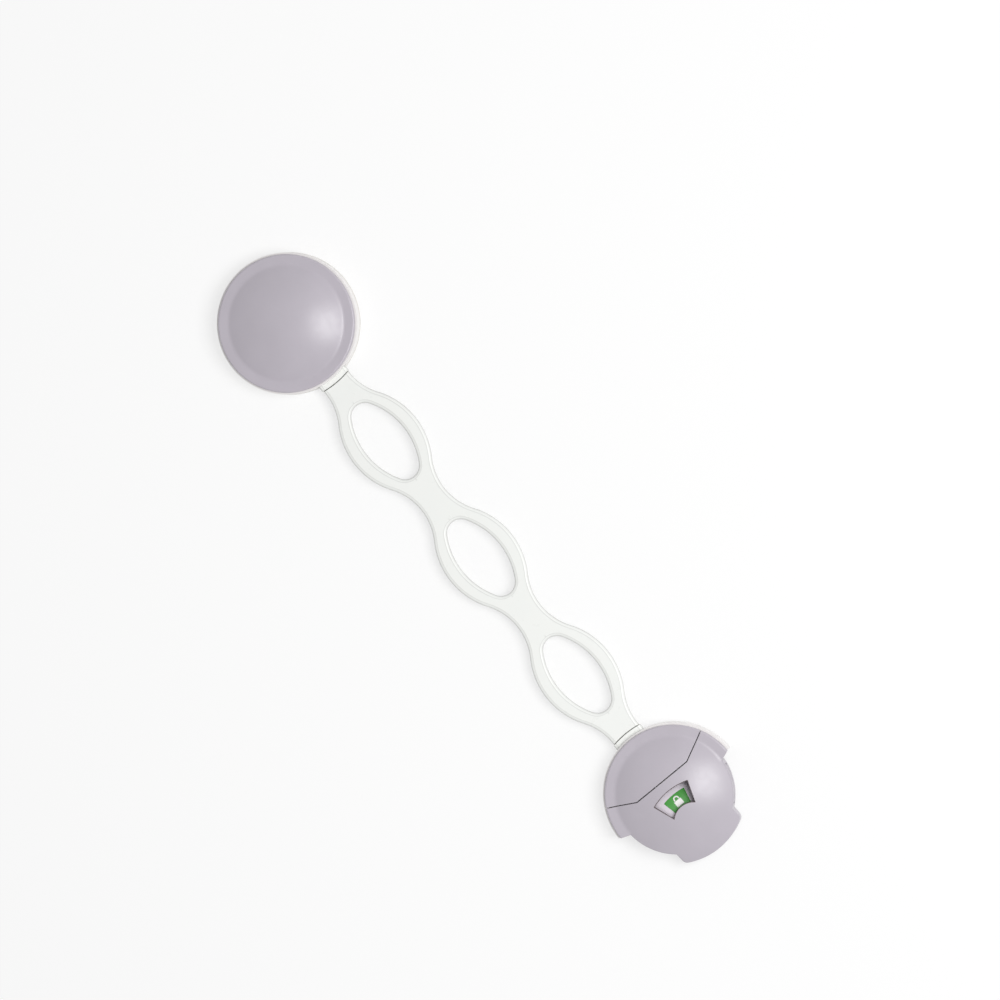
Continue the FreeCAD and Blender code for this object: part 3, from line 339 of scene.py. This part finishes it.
MATERIALS = {
    "cap": moulded("lilac_cap_plastic", LILAC, **CAP_SHEEN),
    "shaded_window_cap": shaded_window_cap(LILAC),
    "button": moulded("lilac_button_plastic", scaled(LILAC, 0.96), rough=(0.42, 0.52)),
    "white": moulded("white_drum_plastic", srgb(240, 237, 236), rough=(0.3, 0.42), mottle=0.015),
    "base": moulded("base_plastic", srgb(226, 224, 222), rough=(0.4, 0.5)),
    "flag": moulded("flag_plastic", srgb(218, 211, 220), rough=(0.4, 0.5), mottle=0.015),
    "green": moulded("green_print", srgb(32, 141, 12), rough=(0.42, 0.5), grain=0.02),
    "red": moulded("red_print", srgb(196, 42, 36), rough=(0.38, 0.48), grain=0.02),
    "ink": moulded("white_print", srgb(246, 245, 243), rough=(0.4, 0.5), mottle=0.01, grain=0.02),
    "strap": milky_strap(),
    "foam": foam("adhesive_foam", srgb(232, 230, 224)),
    "screw": steel("plated_screw", srgb(196, 197, 200), (0.22, 0.34)),
    "spring": steel("spring_wire", srgb(178, 180, 184), (0.2, 0.32)),
}
NODE_MATERIALS = {
    "fixed_base": "white", "head_frame": "white", "lock_base": "base", "fixed_cap": "cap",
    "front_cap": "cap", "rear_cap": "shaded_window_cap", "left_button": "button", "right_button": "button",
    "flag_arm": "flag", "flag_green_label": "green", "flag_red_label": "red", "cap_screws": "screw",
    "latch_spring": "spring", "left_return_spring": "spring", "right_return_spring": "spring",
    "flag_return_spring": "spring", "fixed_pad": "foam", "lock_pad": "foam",
}


def paint(piece, material):
    piece.data.materials.clear()
    piece.data.materials.append(MATERIALS[material])


for name, material in NODE_MATERIALS.items():
    paint(frame["nodes"][name], material)

# ---------------------------------------------------------------- mesh helpers


class Shell:
    """A mesh built from grids of points. Points at one place are one vertex."""

    def __init__(self):
        self.mesh = bmesh.new()
        # This attribute holds how much painted shade the strap's material lays on each point; other pieces
        # leave it at 0.
        self.edge_shade = self.mesh.verts.layers.float.new("edge_shade")
        self.found = {}

    def vertex(self, point, edge_shade=0.0):
        key = tuple(round(part * 1e8) for part in point)
        if key not in self.found:
            self.found[key] = self.mesh.verts.new(point)
            self.found[key][self.edge_shade] = edge_shade
        return self.found[key]

    def grid(self, rows):
        """Faces between neighbouring rows of (point, rim)."""
        placed = [[self.vertex(*spot) for spot in row] for row in rows]
        for before, after in zip(placed, placed[1:]):
            for one, two, three, four in zip(before, before[1:], after[1:], after):
                corners = list(dict.fromkeys((one, two, three, four)))
                if len(corners) > 2 and not self.mesh.faces.get(corners):
                    self.mesh.faces.new(corners)

    def finish(self, name, material, sharp=40.0):
        """Closes open ends, points the faces outward and makes the object."""
        ends = [edge for edge in self.mesh.edges if edge.is_boundary]
        bmesh.ops.holes_fill(self.mesh, edges=ends)
        bmesh.ops.recalc_face_normals(self.mesh, faces=self.mesh.faces)
        for face in self.mesh.faces:
            face.smooth = True
        for edge in self.mesh.edges:
            edge.smooth = edge.calc_face_angle(0.0) < math.radians(sharp)
        data = bpy.data.meshes.new(name)
        self.mesh.to_mesh(data)
        self.mesh.free()
        piece = bpy.data.objects.new(name, data)
        bpy.context.scene.collection.objects.link(piece)
        paint(piece, material)
        return piece


# ---------------------------------------------------------------- strap

WAVE_RISE = EYE_HALF_WIDTH - WAIST_HALF
WAVE_SUM = (HALF_EYE**2 + WAVE_RISE**2) / (2 * WAVE_RISE)
WAIST_BULGE = WAVE_SUM - EYE_BULGE
WAVE_ANGLE = math.asin(1 - WAVE_RISE / WAVE_SUM)  # where the outline's two arcs meet
HOLE_X = HOLE_HALF_LENGTH - HOLE_END
HOLE_SIDE = (HOLE_X**2 + HOLE_HALF_WIDTH**2 - HOLE_END**2) / (2 * (HOLE_HALF_WIDTH - HOLE_END))
HOLE_ANGLE = math.atan2(HOLE_SIDE - HOLE_HALF_WIDTH, HOLE_X)
SIDE_STEPS = 16
TURN_STEPS = 8
WAIST_STEPS = 10
EDGE_STEPS = 10  # round the strap's edge, from its top to its underside
GROOVE_STEPS = 4
ACROSS = (0.25, 0.5, 0.75)  # shares of the width between the two fine lines
TAIL_PLACES = (1.2 * MM, 4.0 * MM)


def arc(centre_x, centre_y, radius, first, last, steps):
    """Points on an arc, from one angle to another."""
    angles = [first + (last - first) * step / steps for step in range(steps + 1)]
    return [(centre_x + radius * math.cos(angle), centre_y + radius * math.sin(angle)) for angle in angles]


def outer_edge(inset):
    """A quarter of an eye's outline, from beside the eye to the waist, moved inward by inset."""
    right = math.pi / 2
    bulge = arc(0, EYE_HALF_WIDTH - EYE_BULGE, EYE_BULGE - inset, right, WAVE_ANGLE, SIDE_STEPS)
    waist = arc(HALF_EYE, WAIST_HALF + WAIST_BULGE, WAIST_BULGE + inset, WAVE_ANGLE + math.pi, 3 * right,
                TURN_STEPS + WAIST_STEPS)
    return bulge + waist[1:]


def hole_edge(inset):
    """A quarter of the eye's hole, from its side to its tip, moved into the strap by inset."""
    side = arc(0, HOLE_HALF_WIDTH - HOLE_SIDE, HOLE_SIDE + inset, math.pi / 2, HOLE_ANGLE, SIDE_STEPS)
    end = arc(HOLE_X, 0, HOLE_END + inset, HOLE_ANGLE, 0, TURN_STEPS)
    return side + end[1:]


def round_edge():
    """(inset, height, painted edge shade) from the strap's top face round its half-round edge to its
    underside.
    """
    half = STRAP_THICK / 2
    profile = []
    for step in range(EDGE_STEPS + 1):
        angle = math.pi * step / EDGE_STEPS
        edge_shade = SHADE_LINE + (SHADE_SIDE - SHADE_LINE) * math.sin(angle)
        profile.append((half * (1 - math.sin(angle)), STRAP_LOW + half + half * math.cos(angle), edge_shade))
    return profile


def strap_sections():
    """For each station from beside an eye to the waist, what runs from the hole or centre line over the top,
    round the outer edge and back below. Positive X and Y only."""
    edge = round_edge()
    outside = {inset: outer_edge(inset) for inset, _, _ in edge}
    inset = edge[0][0]
    inside = hole_edge(inset)
    tip = inside[-1][0]
    inside += [(tip + (HALF_EYE - tip) * step / WAIST_STEPS, 0.0) for step in range(1, WAIST_STEPS + 1)]
    sections = []
    for station, ((inner_x, inner_y), (outer_x, outer_y)) in enumerate(zip(inside, outside[inset])):
        at_hole = station <= SIDE_STEPS + TURN_STEPS
        wide = math.hypot(outer_x - inner_x, outer_y - inner_y)
        line = LINE_WIDE / wide
        shares = [0.0, line] + [line + (1 - 2 * line) * share for share in ACROSS] + [1 - line, 1.0]
        face = []
        for share in shares:
            # The top face's outermost points carry the painted shade of the fine line.
            edge_shade = edge[0][2] if share == 1.0 or (share == 0.0 and at_hole) else 0.0
            face.append((inner_x + (outer_x - inner_x) * share, inner_y + (outer_y - inner_y) * share, edge_shade))
        top = [((x, y, STRAP_LOW + STRAP_THICK), edge_shade) for x, y, edge_shade in face]
        side = [((*outside[depth][station], height), edge_shade) for depth, height, edge_shade in edge]
        below = [((x, y, STRAP_LOW), edge_shade) for x, y, edge_shade in reversed(face)]
        sections.append(top + side[1:-1] + below)
    return sections


def hole_sections():
    """The hole's rounded wall, station by station, from the top face to the underside."""
    edge = round_edge()
    walls = [hole_edge(inset) for inset, _, _ in edge]
    return [[((*wall[station], height), edge_shade) for wall, (_, height, edge_shade) in zip(walls, edge)]
            for station in range(SIDE_STEPS + TURN_STEPS + 1)]


def tail_sections(waist, length):
    """Sections from the fold line into the disc, about the eye's centre: a groove, then a tail. The groove's
    points carry full painted shade, for the shadow in the narrow groove.
    """
    first, last = GROOVE_START + GROOVE_SLOPE, GROOVE_WIDE - GROOVE_SLOPE
    steps = [(GROOVE_START, STRAP_THICK, 0.0)]
    # The groove's floor and walls get full painted shade.
    for count in range(GROOVE_STEPS + 1):
        steps.append((first + (last - first) * count / GROOVE_STEPS, GROOVE_WEB, 1.0))
    steps += [(along, STRAP_THICK, 0.0) for along in (GROOVE_WIDE, *TAIL_PLACES, length)]
    sections = []
    for along, thick, shade in steps:
        wide = NECK_HALF / WAIST_HALF if along >= GROOVE_WIDE else 1.0
        section = []
        for (_, y, z), edge_shade in waist:
            height = STRAP_LOW + (z - STRAP_LOW) * thick / STRAP_THICK
            curve = GROOVE_CURVE * (y / WAIST_HALF) ** 2 if along <= GROOVE_WIDE else 0.0
            section.append(((HALF_EYE + along + curve, y * wide, height), max(edge_shade, shade)))
        sections.append(section)
    return sections


def placed(sections, centre, along, across):
    """The sections moved to an eye's centre, mirrored where along or across is -1."""
    return [[((centre + along * x, across * y, z), edge_shade) for (x, y, z), edge_shade in row] for row in sections]


def strap_piece(name, quarters, tail=0.0):
    """One piece of the strap. A quarter is (the eye's centre, 1 or -1 for the side that the piece has)."""
    shell = Shell()
    for centre, along in quarters:
        sections = strap_sections()
        if tail:
            sections += tail_sections(sections[-1], tail)
        for across in (1, -1):
            shell.grid(placed(sections, centre, along, across))
            shell.grid(placed(hole_sections(), centre, along, across))
    piece = shell.finish(name, "strap")
    return piece


def strap():
    """The strap in four pieces that meet beside the eyes."""
    first, middle, last = EYE_CENTRES
    tail = FOLD_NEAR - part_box("strap_fixed_tail")[0].x
    near = strap_piece("strap_near", [(first, -1)], tail)
    waist_1 = strap_piece("strap_first_waist", [(first, 1), (middle, -1)])
    waist_2 = strap_piece("strap_second_waist", [(middle, 1), (last, -1)])
    far = strap_piece("strap_far", [(last, 1)], tail)
    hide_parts("strap_fixed_tail", "strap_link_1")
    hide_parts("strap_link_2")
    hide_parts("strap_link_3")
    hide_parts("strap_lock_tail")
    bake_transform(near)
    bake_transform(waist_1)
    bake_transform(waist_2)
    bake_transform(far)


strap()

# ---------------------------------------------------------------- foam rounds

FOAM_ROUND = 144
FOAM_HIGH = 8
FOAM_SHARES = (0.0, 0.3, 0.6, 0.85, 0.97)  # of the radius, on both faces


def ring(centre, radius, height, steps, wobble=0.0):
    """Points round a circle. A wobble makes the radius uneven, as a cut edge is."""
    points = []
    for step in range(steps + 1):
        turn = 2 * math.pi * (step % steps) / steps
        waves = math.sin(7 * turn + 1.3) + math.sin(17 * turn) + math.sin(41 * turn + 0.7)
        far = radius + wobble * waves / 3
        points.append((centre.x + far * math.cos(turn), centre.y + far * math.sin(turn), height))
    return points


def foam_round(name, node, body):
    """A round of adhesive foam, pressed between two faces so that its cut side bulges a little."""
    low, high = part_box(node)
    centre = (low + high) / 2
    radius = high.x - centre.x - PAD_BULGE / 4
    shell = Shell()
    side = []
    for step in range(FOAM_HIGH + 1):
        share = step / FOAM_HIGH
        reach = radius - PAD_BULGE * (2 * share - 1) ** 2
        wobble = PAD_BULGE / 4 * math.sin(math.pi * share)
        side.append(ring(centre, reach, low.z + (high.z - low.z) * share, FOAM_ROUND, wobble))
    faces = [[ring(centre, radius * share, height, FOAM_ROUND) for share in FOAM_SHARES]
             for height in (low.z, high.z)]
    rings = faces[0] + side + faces[1][::-1]
    shell.grid([[(point, 0.0) for point in one] for one in rings])
    piece = shell.finish(name, "foam")
    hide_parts(node)
    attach(piece, body)


foam_round("fixed_foam", "fixed_pad", "fixed_end")
foam_round("lock_foam", "lock_pad", "glued_base")

# ---------------------------------------------------------------- screws

THREAD_ROUND = 24
HEAD_ROUND = 36


def screw_places():
    """The axes of the four screws, from the loose parts of the node's mesh."""
    def centre(levels):
        return (min(levels) + max(levels)) / 2

    points = [vertex.co for vertex in frame["nodes"]["cap_screws"].data.vertices]
    middle = centre([point.x for point in points])
    places = []
    for before in (True, False):
        for left in (True, False):
            group = [point for point in points if (point.x < middle) == before and (point.y > 0) == left]
            places.append(Vector([centre([point[axis] for point in group]) for axis in (0, 1)] + [0]))
    return places


def cross_outline():
    """The twelve corners of a cross recess, anticlockwise."""
    half = CROSS_WIDE / 2
    corners = []
    for quarter in range(4):
        turn = quarter * math.pi / 2
        across, along = math.cos(turn), math.sin(turn)
        for x, y in ((CROSS_REACH, -half), (CROSS_REACH, half), (half, half)):
            corners.append((x * across - y * along, x * along + y * across))
    return corners


def screw(shell, place, low, high):
    """A self-tapping screw, head down: a rounded head with a cross recess, and a threaded shank."""
    mesh = shell.mesh
    head_top = low + SCREW_HEAD_HIGH
    profile = [(SCREW_HEAD - SCREW_HEAD_ROUND * (1 - math.sin(angle)),
                low + SCREW_HEAD_ROUND * (1 - math.cos(angle))) for angle in (0.0, 0.5, 1.0, math.pi / 2)]
    profile += [(SCREW_HEAD, head_top - SCREW_HEAD_EDGE), (SCREW_HEAD - SCREW_HEAD_EDGE, head_top),
                (SCREW_RADIUS, head_top)]
    edge_shade = [ring(place, radius, height, HEAD_ROUND) for radius, height in profile]
    shell.grid([[(point, 0.0) for point in one] for one in edge_shade])
    edge = [shell.vertex(point) for point in edge_shade[0][:-1]]
    cross = [shell.vertex((place.x + x, place.y + y, low)) for x, y in cross_outline()]
    bottom = [shell.vertex((place.x + CROSS_TAPER * x, place.y + CROSS_TAPER * y, low + CROSS_DEEP))
              for x, y in cross_outline()]
    loops = []
    for loop in (edge, cross):
        loops += [mesh.edges.get(pair) or mesh.edges.new(pair) for pair in zip(loop, loop[1:] + loop[:1])]
    bmesh.ops.triangle_fill(mesh, use_beauty=True, edges=loops)
    for corners in zip(cross, cross[1:] + cross[:1], bottom[1:] + bottom[:1], bottom):
        mesh.faces.new(corners)
    mesh.faces.new(bottom)
    rows = []
    length = high - head_top
    steps = round(length / THREAD_PITCH * 10)
    for step in range(steps + 1):
        height = head_top + length * step / steps
        taper = min(1.0, (high - height) / (1.2 * THREAD_PITCH)) * min(1.0, step / 6)
        row = []
        for count in range(THREAD_ROUND + 1):
            turn = (count % THREAD_ROUND) / THREAD_ROUND
            ridge = abs(((height / THREAD_PITCH + turn) % 1.0) * 2 - 1)
            core = SCREW_RADIUS - THREAD_DEEP * (1 - taper * max(0.0, 1.6 * ridge - 0.6))
            reach = core * (1 - 0.55 * max(0.0, 1 - (high - height) / (0.8 * THREAD_PITCH)))
            angle = 2 * math.pi * turn
            row.append(((place.x + reach * math.cos(angle), place.y + reach * math.sin(angle), height), 0.0))
        rows.append(row)
    shell.grid(rows)


def screws():
    low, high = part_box("cap_screws")
    shell = Shell()
    for place in screw_places():
        screw(shell, place, low.z, high.z)
    piece = shell.finish("case_screws", "screw", sharp=50.0)
    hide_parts("cap_screws")
    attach(piece, "lock_head")


screws()

# ---------------------------------------------------------------- springs

WIRE_ROUND = 16
WIRE_STEPS = 24
LEAF_STEPS = 24


def wire(name, path):
    """A round wire along a path of points that lies at one height."""
    shell = Shell()
    rows = []
    for count, point in enumerate(path):
        before, after = path[max(count - 1, 0)], path[min(count + 1, len(path) - 1)]
        along = (after - before).normalized()
        side = Vector((-along.y, along.x, 0))
        row = []
        for step in range(WIRE_ROUND + 1):
            turn = 2 * math.pi * (step % WIRE_ROUND) / WIRE_ROUND
            spot = point + side * (WIRE_RADIUS * math.cos(turn))
            row.append(((spot.x, spot.y, spot.z + WIRE_RADIUS * math.sin(turn)), 0.0))
        rows.append(row)
    shell.grid(rows)
    piece = shell.finish(name, "spring")
    return piece


def latch_wire():
    """The hairpin: a loop that stays with the head, and two legs that the buttons' arms push apart."""
    low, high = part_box("latch_spring")
    height = (low.z + high.z) / 2
    side = high.y - WIRE_RADIUS
    bend = low.x + WIRE_RADIUS + side
    end = high.x
    turns = [math.pi / 2 + math.pi * step / WIRE_STEPS for step in range(WIRE_STEPS + 1)]
    loop = [Vector((bend + side * math.cos(turn), side * math.sin(turn), height)) for turn in turns]
    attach(wire("latch_loop", loop), "lock_head")
    for body, across in (("right_button_body", 1), ("left_button_body", -1)):
        leg = [Vector((bend + (end - bend) * step / WIRE_STEPS, across * side, height))
               for step in range(WIRE_STEPS + 1)]
        piece = wire(f"latch_leg_{body.split('_')[0]}", leg)
        if across > 0:
            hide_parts("latch_spring")
        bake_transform(piece)


def leaf(name, node, points):
    """A bent leaf spring through points in plan, as high as its node."""
    low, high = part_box(node)
    shell = Shell()
    rows = []
    for count, point in enumerate(points):
        before, after = points[max(count - 1, 0)], points[min(count + 1, len(points) - 1)]
        along = (after - before).normalized()
        side = Vector((-along.y, along.x, 0)) * LEAF_THICK / 2
        one, other = point - side, point + side
        row = [(one.x, one.y, low.z), (other.x, other.y, low.z), (other.x, other.y, high.z),
               (one.x, one.y, high.z), (one.x, one.y, low.z)]
        rows.append([(spot, 0.0) for spot in row])
    shell.grid(rows)
    piece = shell.finish(name, "spring")
    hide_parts(node)
    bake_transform(piece)


def button_leaf(side):
    """The leaf behind a button, bowed from its seat on the frame's rib to the back of the button."""
    word = "left" if side > 0 else "right"
    low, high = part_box(f"{word}_return_spring")
    foot, apex = (low.y, high.y) if side > 0 else (high.y, low.y)
    foot += side * LEAF_THICK / 2
    apex -= side * LEAF_THICK / 2
    middle = (low.x + high.x) / 2
    reach = (high.x - low.x) / 2 - LEAF_THICK
    points = []
    for step in range(LEAF_STEPS + 1):
        share = 2 * step / LEAF_STEPS - 1
        rise = 0.5 + 0.5 * math.cos(math.pi * share)
        points.append(Vector((middle + reach * share, foot + (apex - foot) * rise, 0)))
    leaf(f"{word}_button_leaf", f"{word}_return_spring", points)


def flag_leaf():
    """The straight leaf that turns the flag."""
    low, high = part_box("flag_return_spring")
    half = LEAF_THICK / 2
    foot = Vector((high.x - half, low.y, 0))
    tip = Vector((low.x + half, high.y, 0))
    points = [foot.lerp(tip, 2 * step / LEAF_STEPS) for step in range(LEAF_STEPS // 2 + 1)]
    leaf("flag_leaf", "flag_return_spring", points)


latch_wire()
button_leaf(1)
button_leaf(-1)
flag_leaf()

# ---------------------------------------------------------------- flag's face and its printed padlocks

FACE_ROUND = 48
FACE_ACROSS = 12
CORNER_STEPS = 5
BOW_STEPS = 16

# The padlock sign, in its drawing's own units: first away from the strap, then across it.
SIGN_BODY = ((-0.02, -1.12), (1.7, 1.12))
SIGN_CORNER = 0.22
SIGN_BOW = (0.45, 0.82)  # the bow's inner and outer radius


def roof(x, y):
    """The height of the labels' underside: the lower of the two that the dome allows at the swing's ends."""
    arm = FLAG_PIVOT.x - LOCK_X
    heights = []
    for swing in (0.0, FLAG_TURN):
        centre_x = LOCK_X + arm * (1 - math.cos(swing))
        centre_y = -arm * math.sin(swing)
        heights.append(DOME_Z + math.sqrt(ROOF_RADIUS**2 - (x - centre_x) ** 2 - (y - centre_y) ** 2))
    return min(heights)


def face_rows(lift):
    """The flag's face at some height over the labels' underside, from its red end to its green end."""
    first, last = -FLAG_TURN - FACE_HALF, FACE_HALF
    rows = []
    for step in range(FACE_ROUND + 1):
        angle = first + (last - first) * step / FACE_ROUND
        row = []
        for count in range(FACE_ACROSS + 1):
            reach = FACE_NEAR + (FACE_FAR - FACE_NEAR) * count / FACE_ACROSS
            x = FLAG_PIVOT.x - reach * math.cos(angle)
            y = reach * math.sin(angle)
            row.append(((x, y, roof(x, y) + lift), 0.0))
        rows.append(row)
    return rows


def borders(rows):
    return [[row[0] for row in rows], [row[-1] for row in rows], rows[0], rows[-1]]


def flag_face():
    """The flag's moulded face, a thin domed sheet round both labels that fills the window."""
    shell = Shell()
    upper, lower = face_rows(FACE_LIFT), face_rows(FACE_LIFT - FACE_THICK)
    shell.grid(upper)
    shell.grid(lower)
    for one, other in zip(borders(lower), borders(upper)):
        shell.grid([one, other])
    piece = shell.finish("flag_face", "flag")
    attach(piece, "flag")


flag_face()


def on_label(label, spots, lift):
    """Points of a flat drawing, dropped from above onto a label."""
    dropped = []
    for x, y in spots:
        found, place, _, _ = label.ray_cast(Vector((x, y, 1.0)), Vector((0, 0, -1)))
        if not found:
            raise RuntimeError(f"a print leaves {label.name}")
        dropped.append(place + Vector((0, 0, lift)))
    return dropped


def rounded_corners(low, high, radius):
    """The outline of a rectangle with rounded corners, anticlockwise."""
    spots = []
    centres = ((high[0] - radius, low[1] + radius, -90), (high[0] - radius, high[1] - radius, 0),
               (low[0] + radius, high[1] - radius, 90), (low[0] + radius, low[1] + radius, 180))
    for x, y, first in centres:
        for step in range(CORNER_STEPS + 1):
            turn = math.radians(first + 90 * step / CORNER_STEPS)
            spots.append((x + radius * math.cos(turn), y + radius * math.sin(turn)))
    return spots


def bow(inner, outer, gap, back):
    """A padlock bow's outer and inner edge: a half ring, back from the body, and two legs. A gap shortens
    one of them."""
    edges = []
    for radius in (outer, inner):
        turns = [math.pi / 2 + math.pi * step / BOW_STEPS for step in range(BOW_STEPS + 1)]
        ring_spots = [(radius * math.cos(turn) - back, radius * math.sin(turn)) for turn in turns]
        edges.append([(0.0, radius)] + ring_spots + [(-gap, -radius)])
    return edges


def padlock(name, node, angle, open_lock):
    """A plain padlock sign, drawn lengthwise on a label with its bow towards the strap."""
    label = frame["nodes"][node]
    across = Vector((-math.cos(angle), math.sin(angle), 0))
    place = FLAG_PIVOT + across * SIGN_PLACE
    side = Vector((across.y, -across.x, 0))

    def laid(spots):
        """The drawing's points, at their places in plan."""
        return [tuple((place - across * (x * SIGN_SCALE) + side * (y * SIGN_SCALE))[:2]) for x, y in spots]

    shell = Shell()
    body = laid(rounded_corners(*SIGN_BODY, SIGN_CORNER))
    top = on_label(label, body, SIGN_LIFT)
    middle = on_label(label, laid([(SIGN_BODY[1][0] / 2, 0.0)]), SIGN_LIFT)
    foot = on_label(label, body, 0.0)
    shell.grid([[(tuple(spot), 0.0) for spot in row + row[:1]] for row in (middle * len(top), top, foot)])
    gap, back = (0.5, 1.0) if open_lock else (0.0, 0.45)
    outer, inner = (laid(edge) for edge in bow(*SIGN_BOW, gap, back))
    rows = ((outer, 0.0), (outer, SIGN_LIFT), (inner, SIGN_LIFT), (inner, 0.0))
    shell.grid([[(tuple(spot), 0.0) for spot in on_label(label, edge, lift)] for edge, lift in rows])
    piece = shell.finish(name, "ink")
    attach(piece, "flag")


padlock("locked_sign", "flag_green_label", 0.0, False)
padlock("open_sign", "flag_red_label", -FLAG_TURN, True)

# ---------------------------------------------------------------- studio

FLOOR_HALF = 4.0
FLOOR_DROP = 0.02 * MM
FLOOR_GLOW = 0.62  # how much of the floor's white doesn't depend on the lamps
ROOM_LIGHT = 0.54
KEY_WATTS = 4.4
KEY_SIZE = 0.46
KEY_PLACE = (0.36, 0.03, 0.82)  # from the object's middle, along the camera's right, up and back


def show_white(tree, plain, share):
    """What camera, mirror and see-through rays meet: a share of even white, and the plain shader's rest."""
    white = add_node(tree, "ShaderNodeEmission", {"Color": (1, 1, 1, 1), "Strength": 1.0})
    light = add_node(tree, "ShaderNodeLightPath")
    seen = light.outputs["Is Camera Ray"]
    for ray in ("Is Glossy Ray", "Is Transmission Ray"):
        seen = maths(tree, "MAXIMUM", seen, light.outputs[ray])
    part = maths(tree, "MULTIPLY", seen, share)
    mix = add_node(tree, "ShaderNodeMixShader", {0: part, 1: plain, 2: white.outputs["Emission"]})
    return mix.outputs["Shader"]


def floor():
    corners = [(-FLOOR_HALF, -FLOOR_HALF), (FLOOR_HALF, -FLOOR_HALF), (FLOOR_HALF, FLOOR_HALF),
               (-FLOOR_HALF, FLOOR_HALF)]
    data = bpy.data.meshes.new("floor")
    data.from_pydata([(x, y, -FLOOR_DROP) for x, y in corners], [], [(0, 1, 2, 3)])
    plane = bpy.data.objects.new("floor", data)
    bpy.context.scene.collection.objects.link(plane)
    material = bpy.data.materials.new("floor_white")
    material.use_nodes = True
    tree = material.node_tree
    matte = add_node(tree, "ShaderNodeBsdfDiffuse", {"Color": (0.97, 0.97, 0.97, 1)})
    ends = tree.nodes["Material Output"]
    tree.nodes.remove(tree.nodes["Principled BSDF"])
    tree.links.new(show_white(tree, matte.outputs["BSDF"], FLOOR_GLOW), ends.inputs["Surface"])
    data.materials.append(material)


def room():
    world = bpy.data.worlds.new("studio")
    world.use_nodes = True
    bpy.context.scene.world = world
    tree = world.node_tree
    plain = tree.nodes["Background"]
    plain.inputs["Color"].default_value = (1, 1, 1, 1)
    plain.inputs["Strength"].default_value = ROOM_LIGHT
    ends = tree.nodes["World Output"]
    tree.links.new(show_white(tree, plain.outputs["Background"], 1.0), ends.inputs["Surface"])


def key_light(turn, target):
    """A square lamp that faces the target."""
    data = bpy.data.lights.new("key", "AREA")
    data.size = KEY_SIZE
    data.energy = KEY_WATTS
    lamp = bpy.data.objects.new("key", data)
    place = target + turn @ Vector(KEY_PLACE)
    lamp.location = place
    lamp.rotation_euler = (target - place).to_track_quat("-Z", "Y").to_euler()
    bpy.context.scene.collection.objects.link(lamp)


def studio():
    turn = Euler([math.radians(angle) for angle in CAMERA_TURN], "XYZ")
    data = bpy.data.cameras.new("camera")
    data.lens = CAMERA_LENS
    data.sensor_width = CAMERA_SENSOR
    data.clip_start = 0.05
    camera = bpy.data.objects.new("camera", data)
    camera.rotation_euler = turn
    camera.location = turn.to_matrix() @ CAMERA_BACK
    bpy.context.scene.collection.objects.link(camera)
    bpy.context.scene.camera = camera
    bpy.context.scene.view_settings.view_transform = "Standard"
    target = (Vector(CAD_BOX[0]) + Vector(CAD_BOX[1])) / 2
    key_light(turn.to_matrix(), target)
    floor()
    room()


studio()
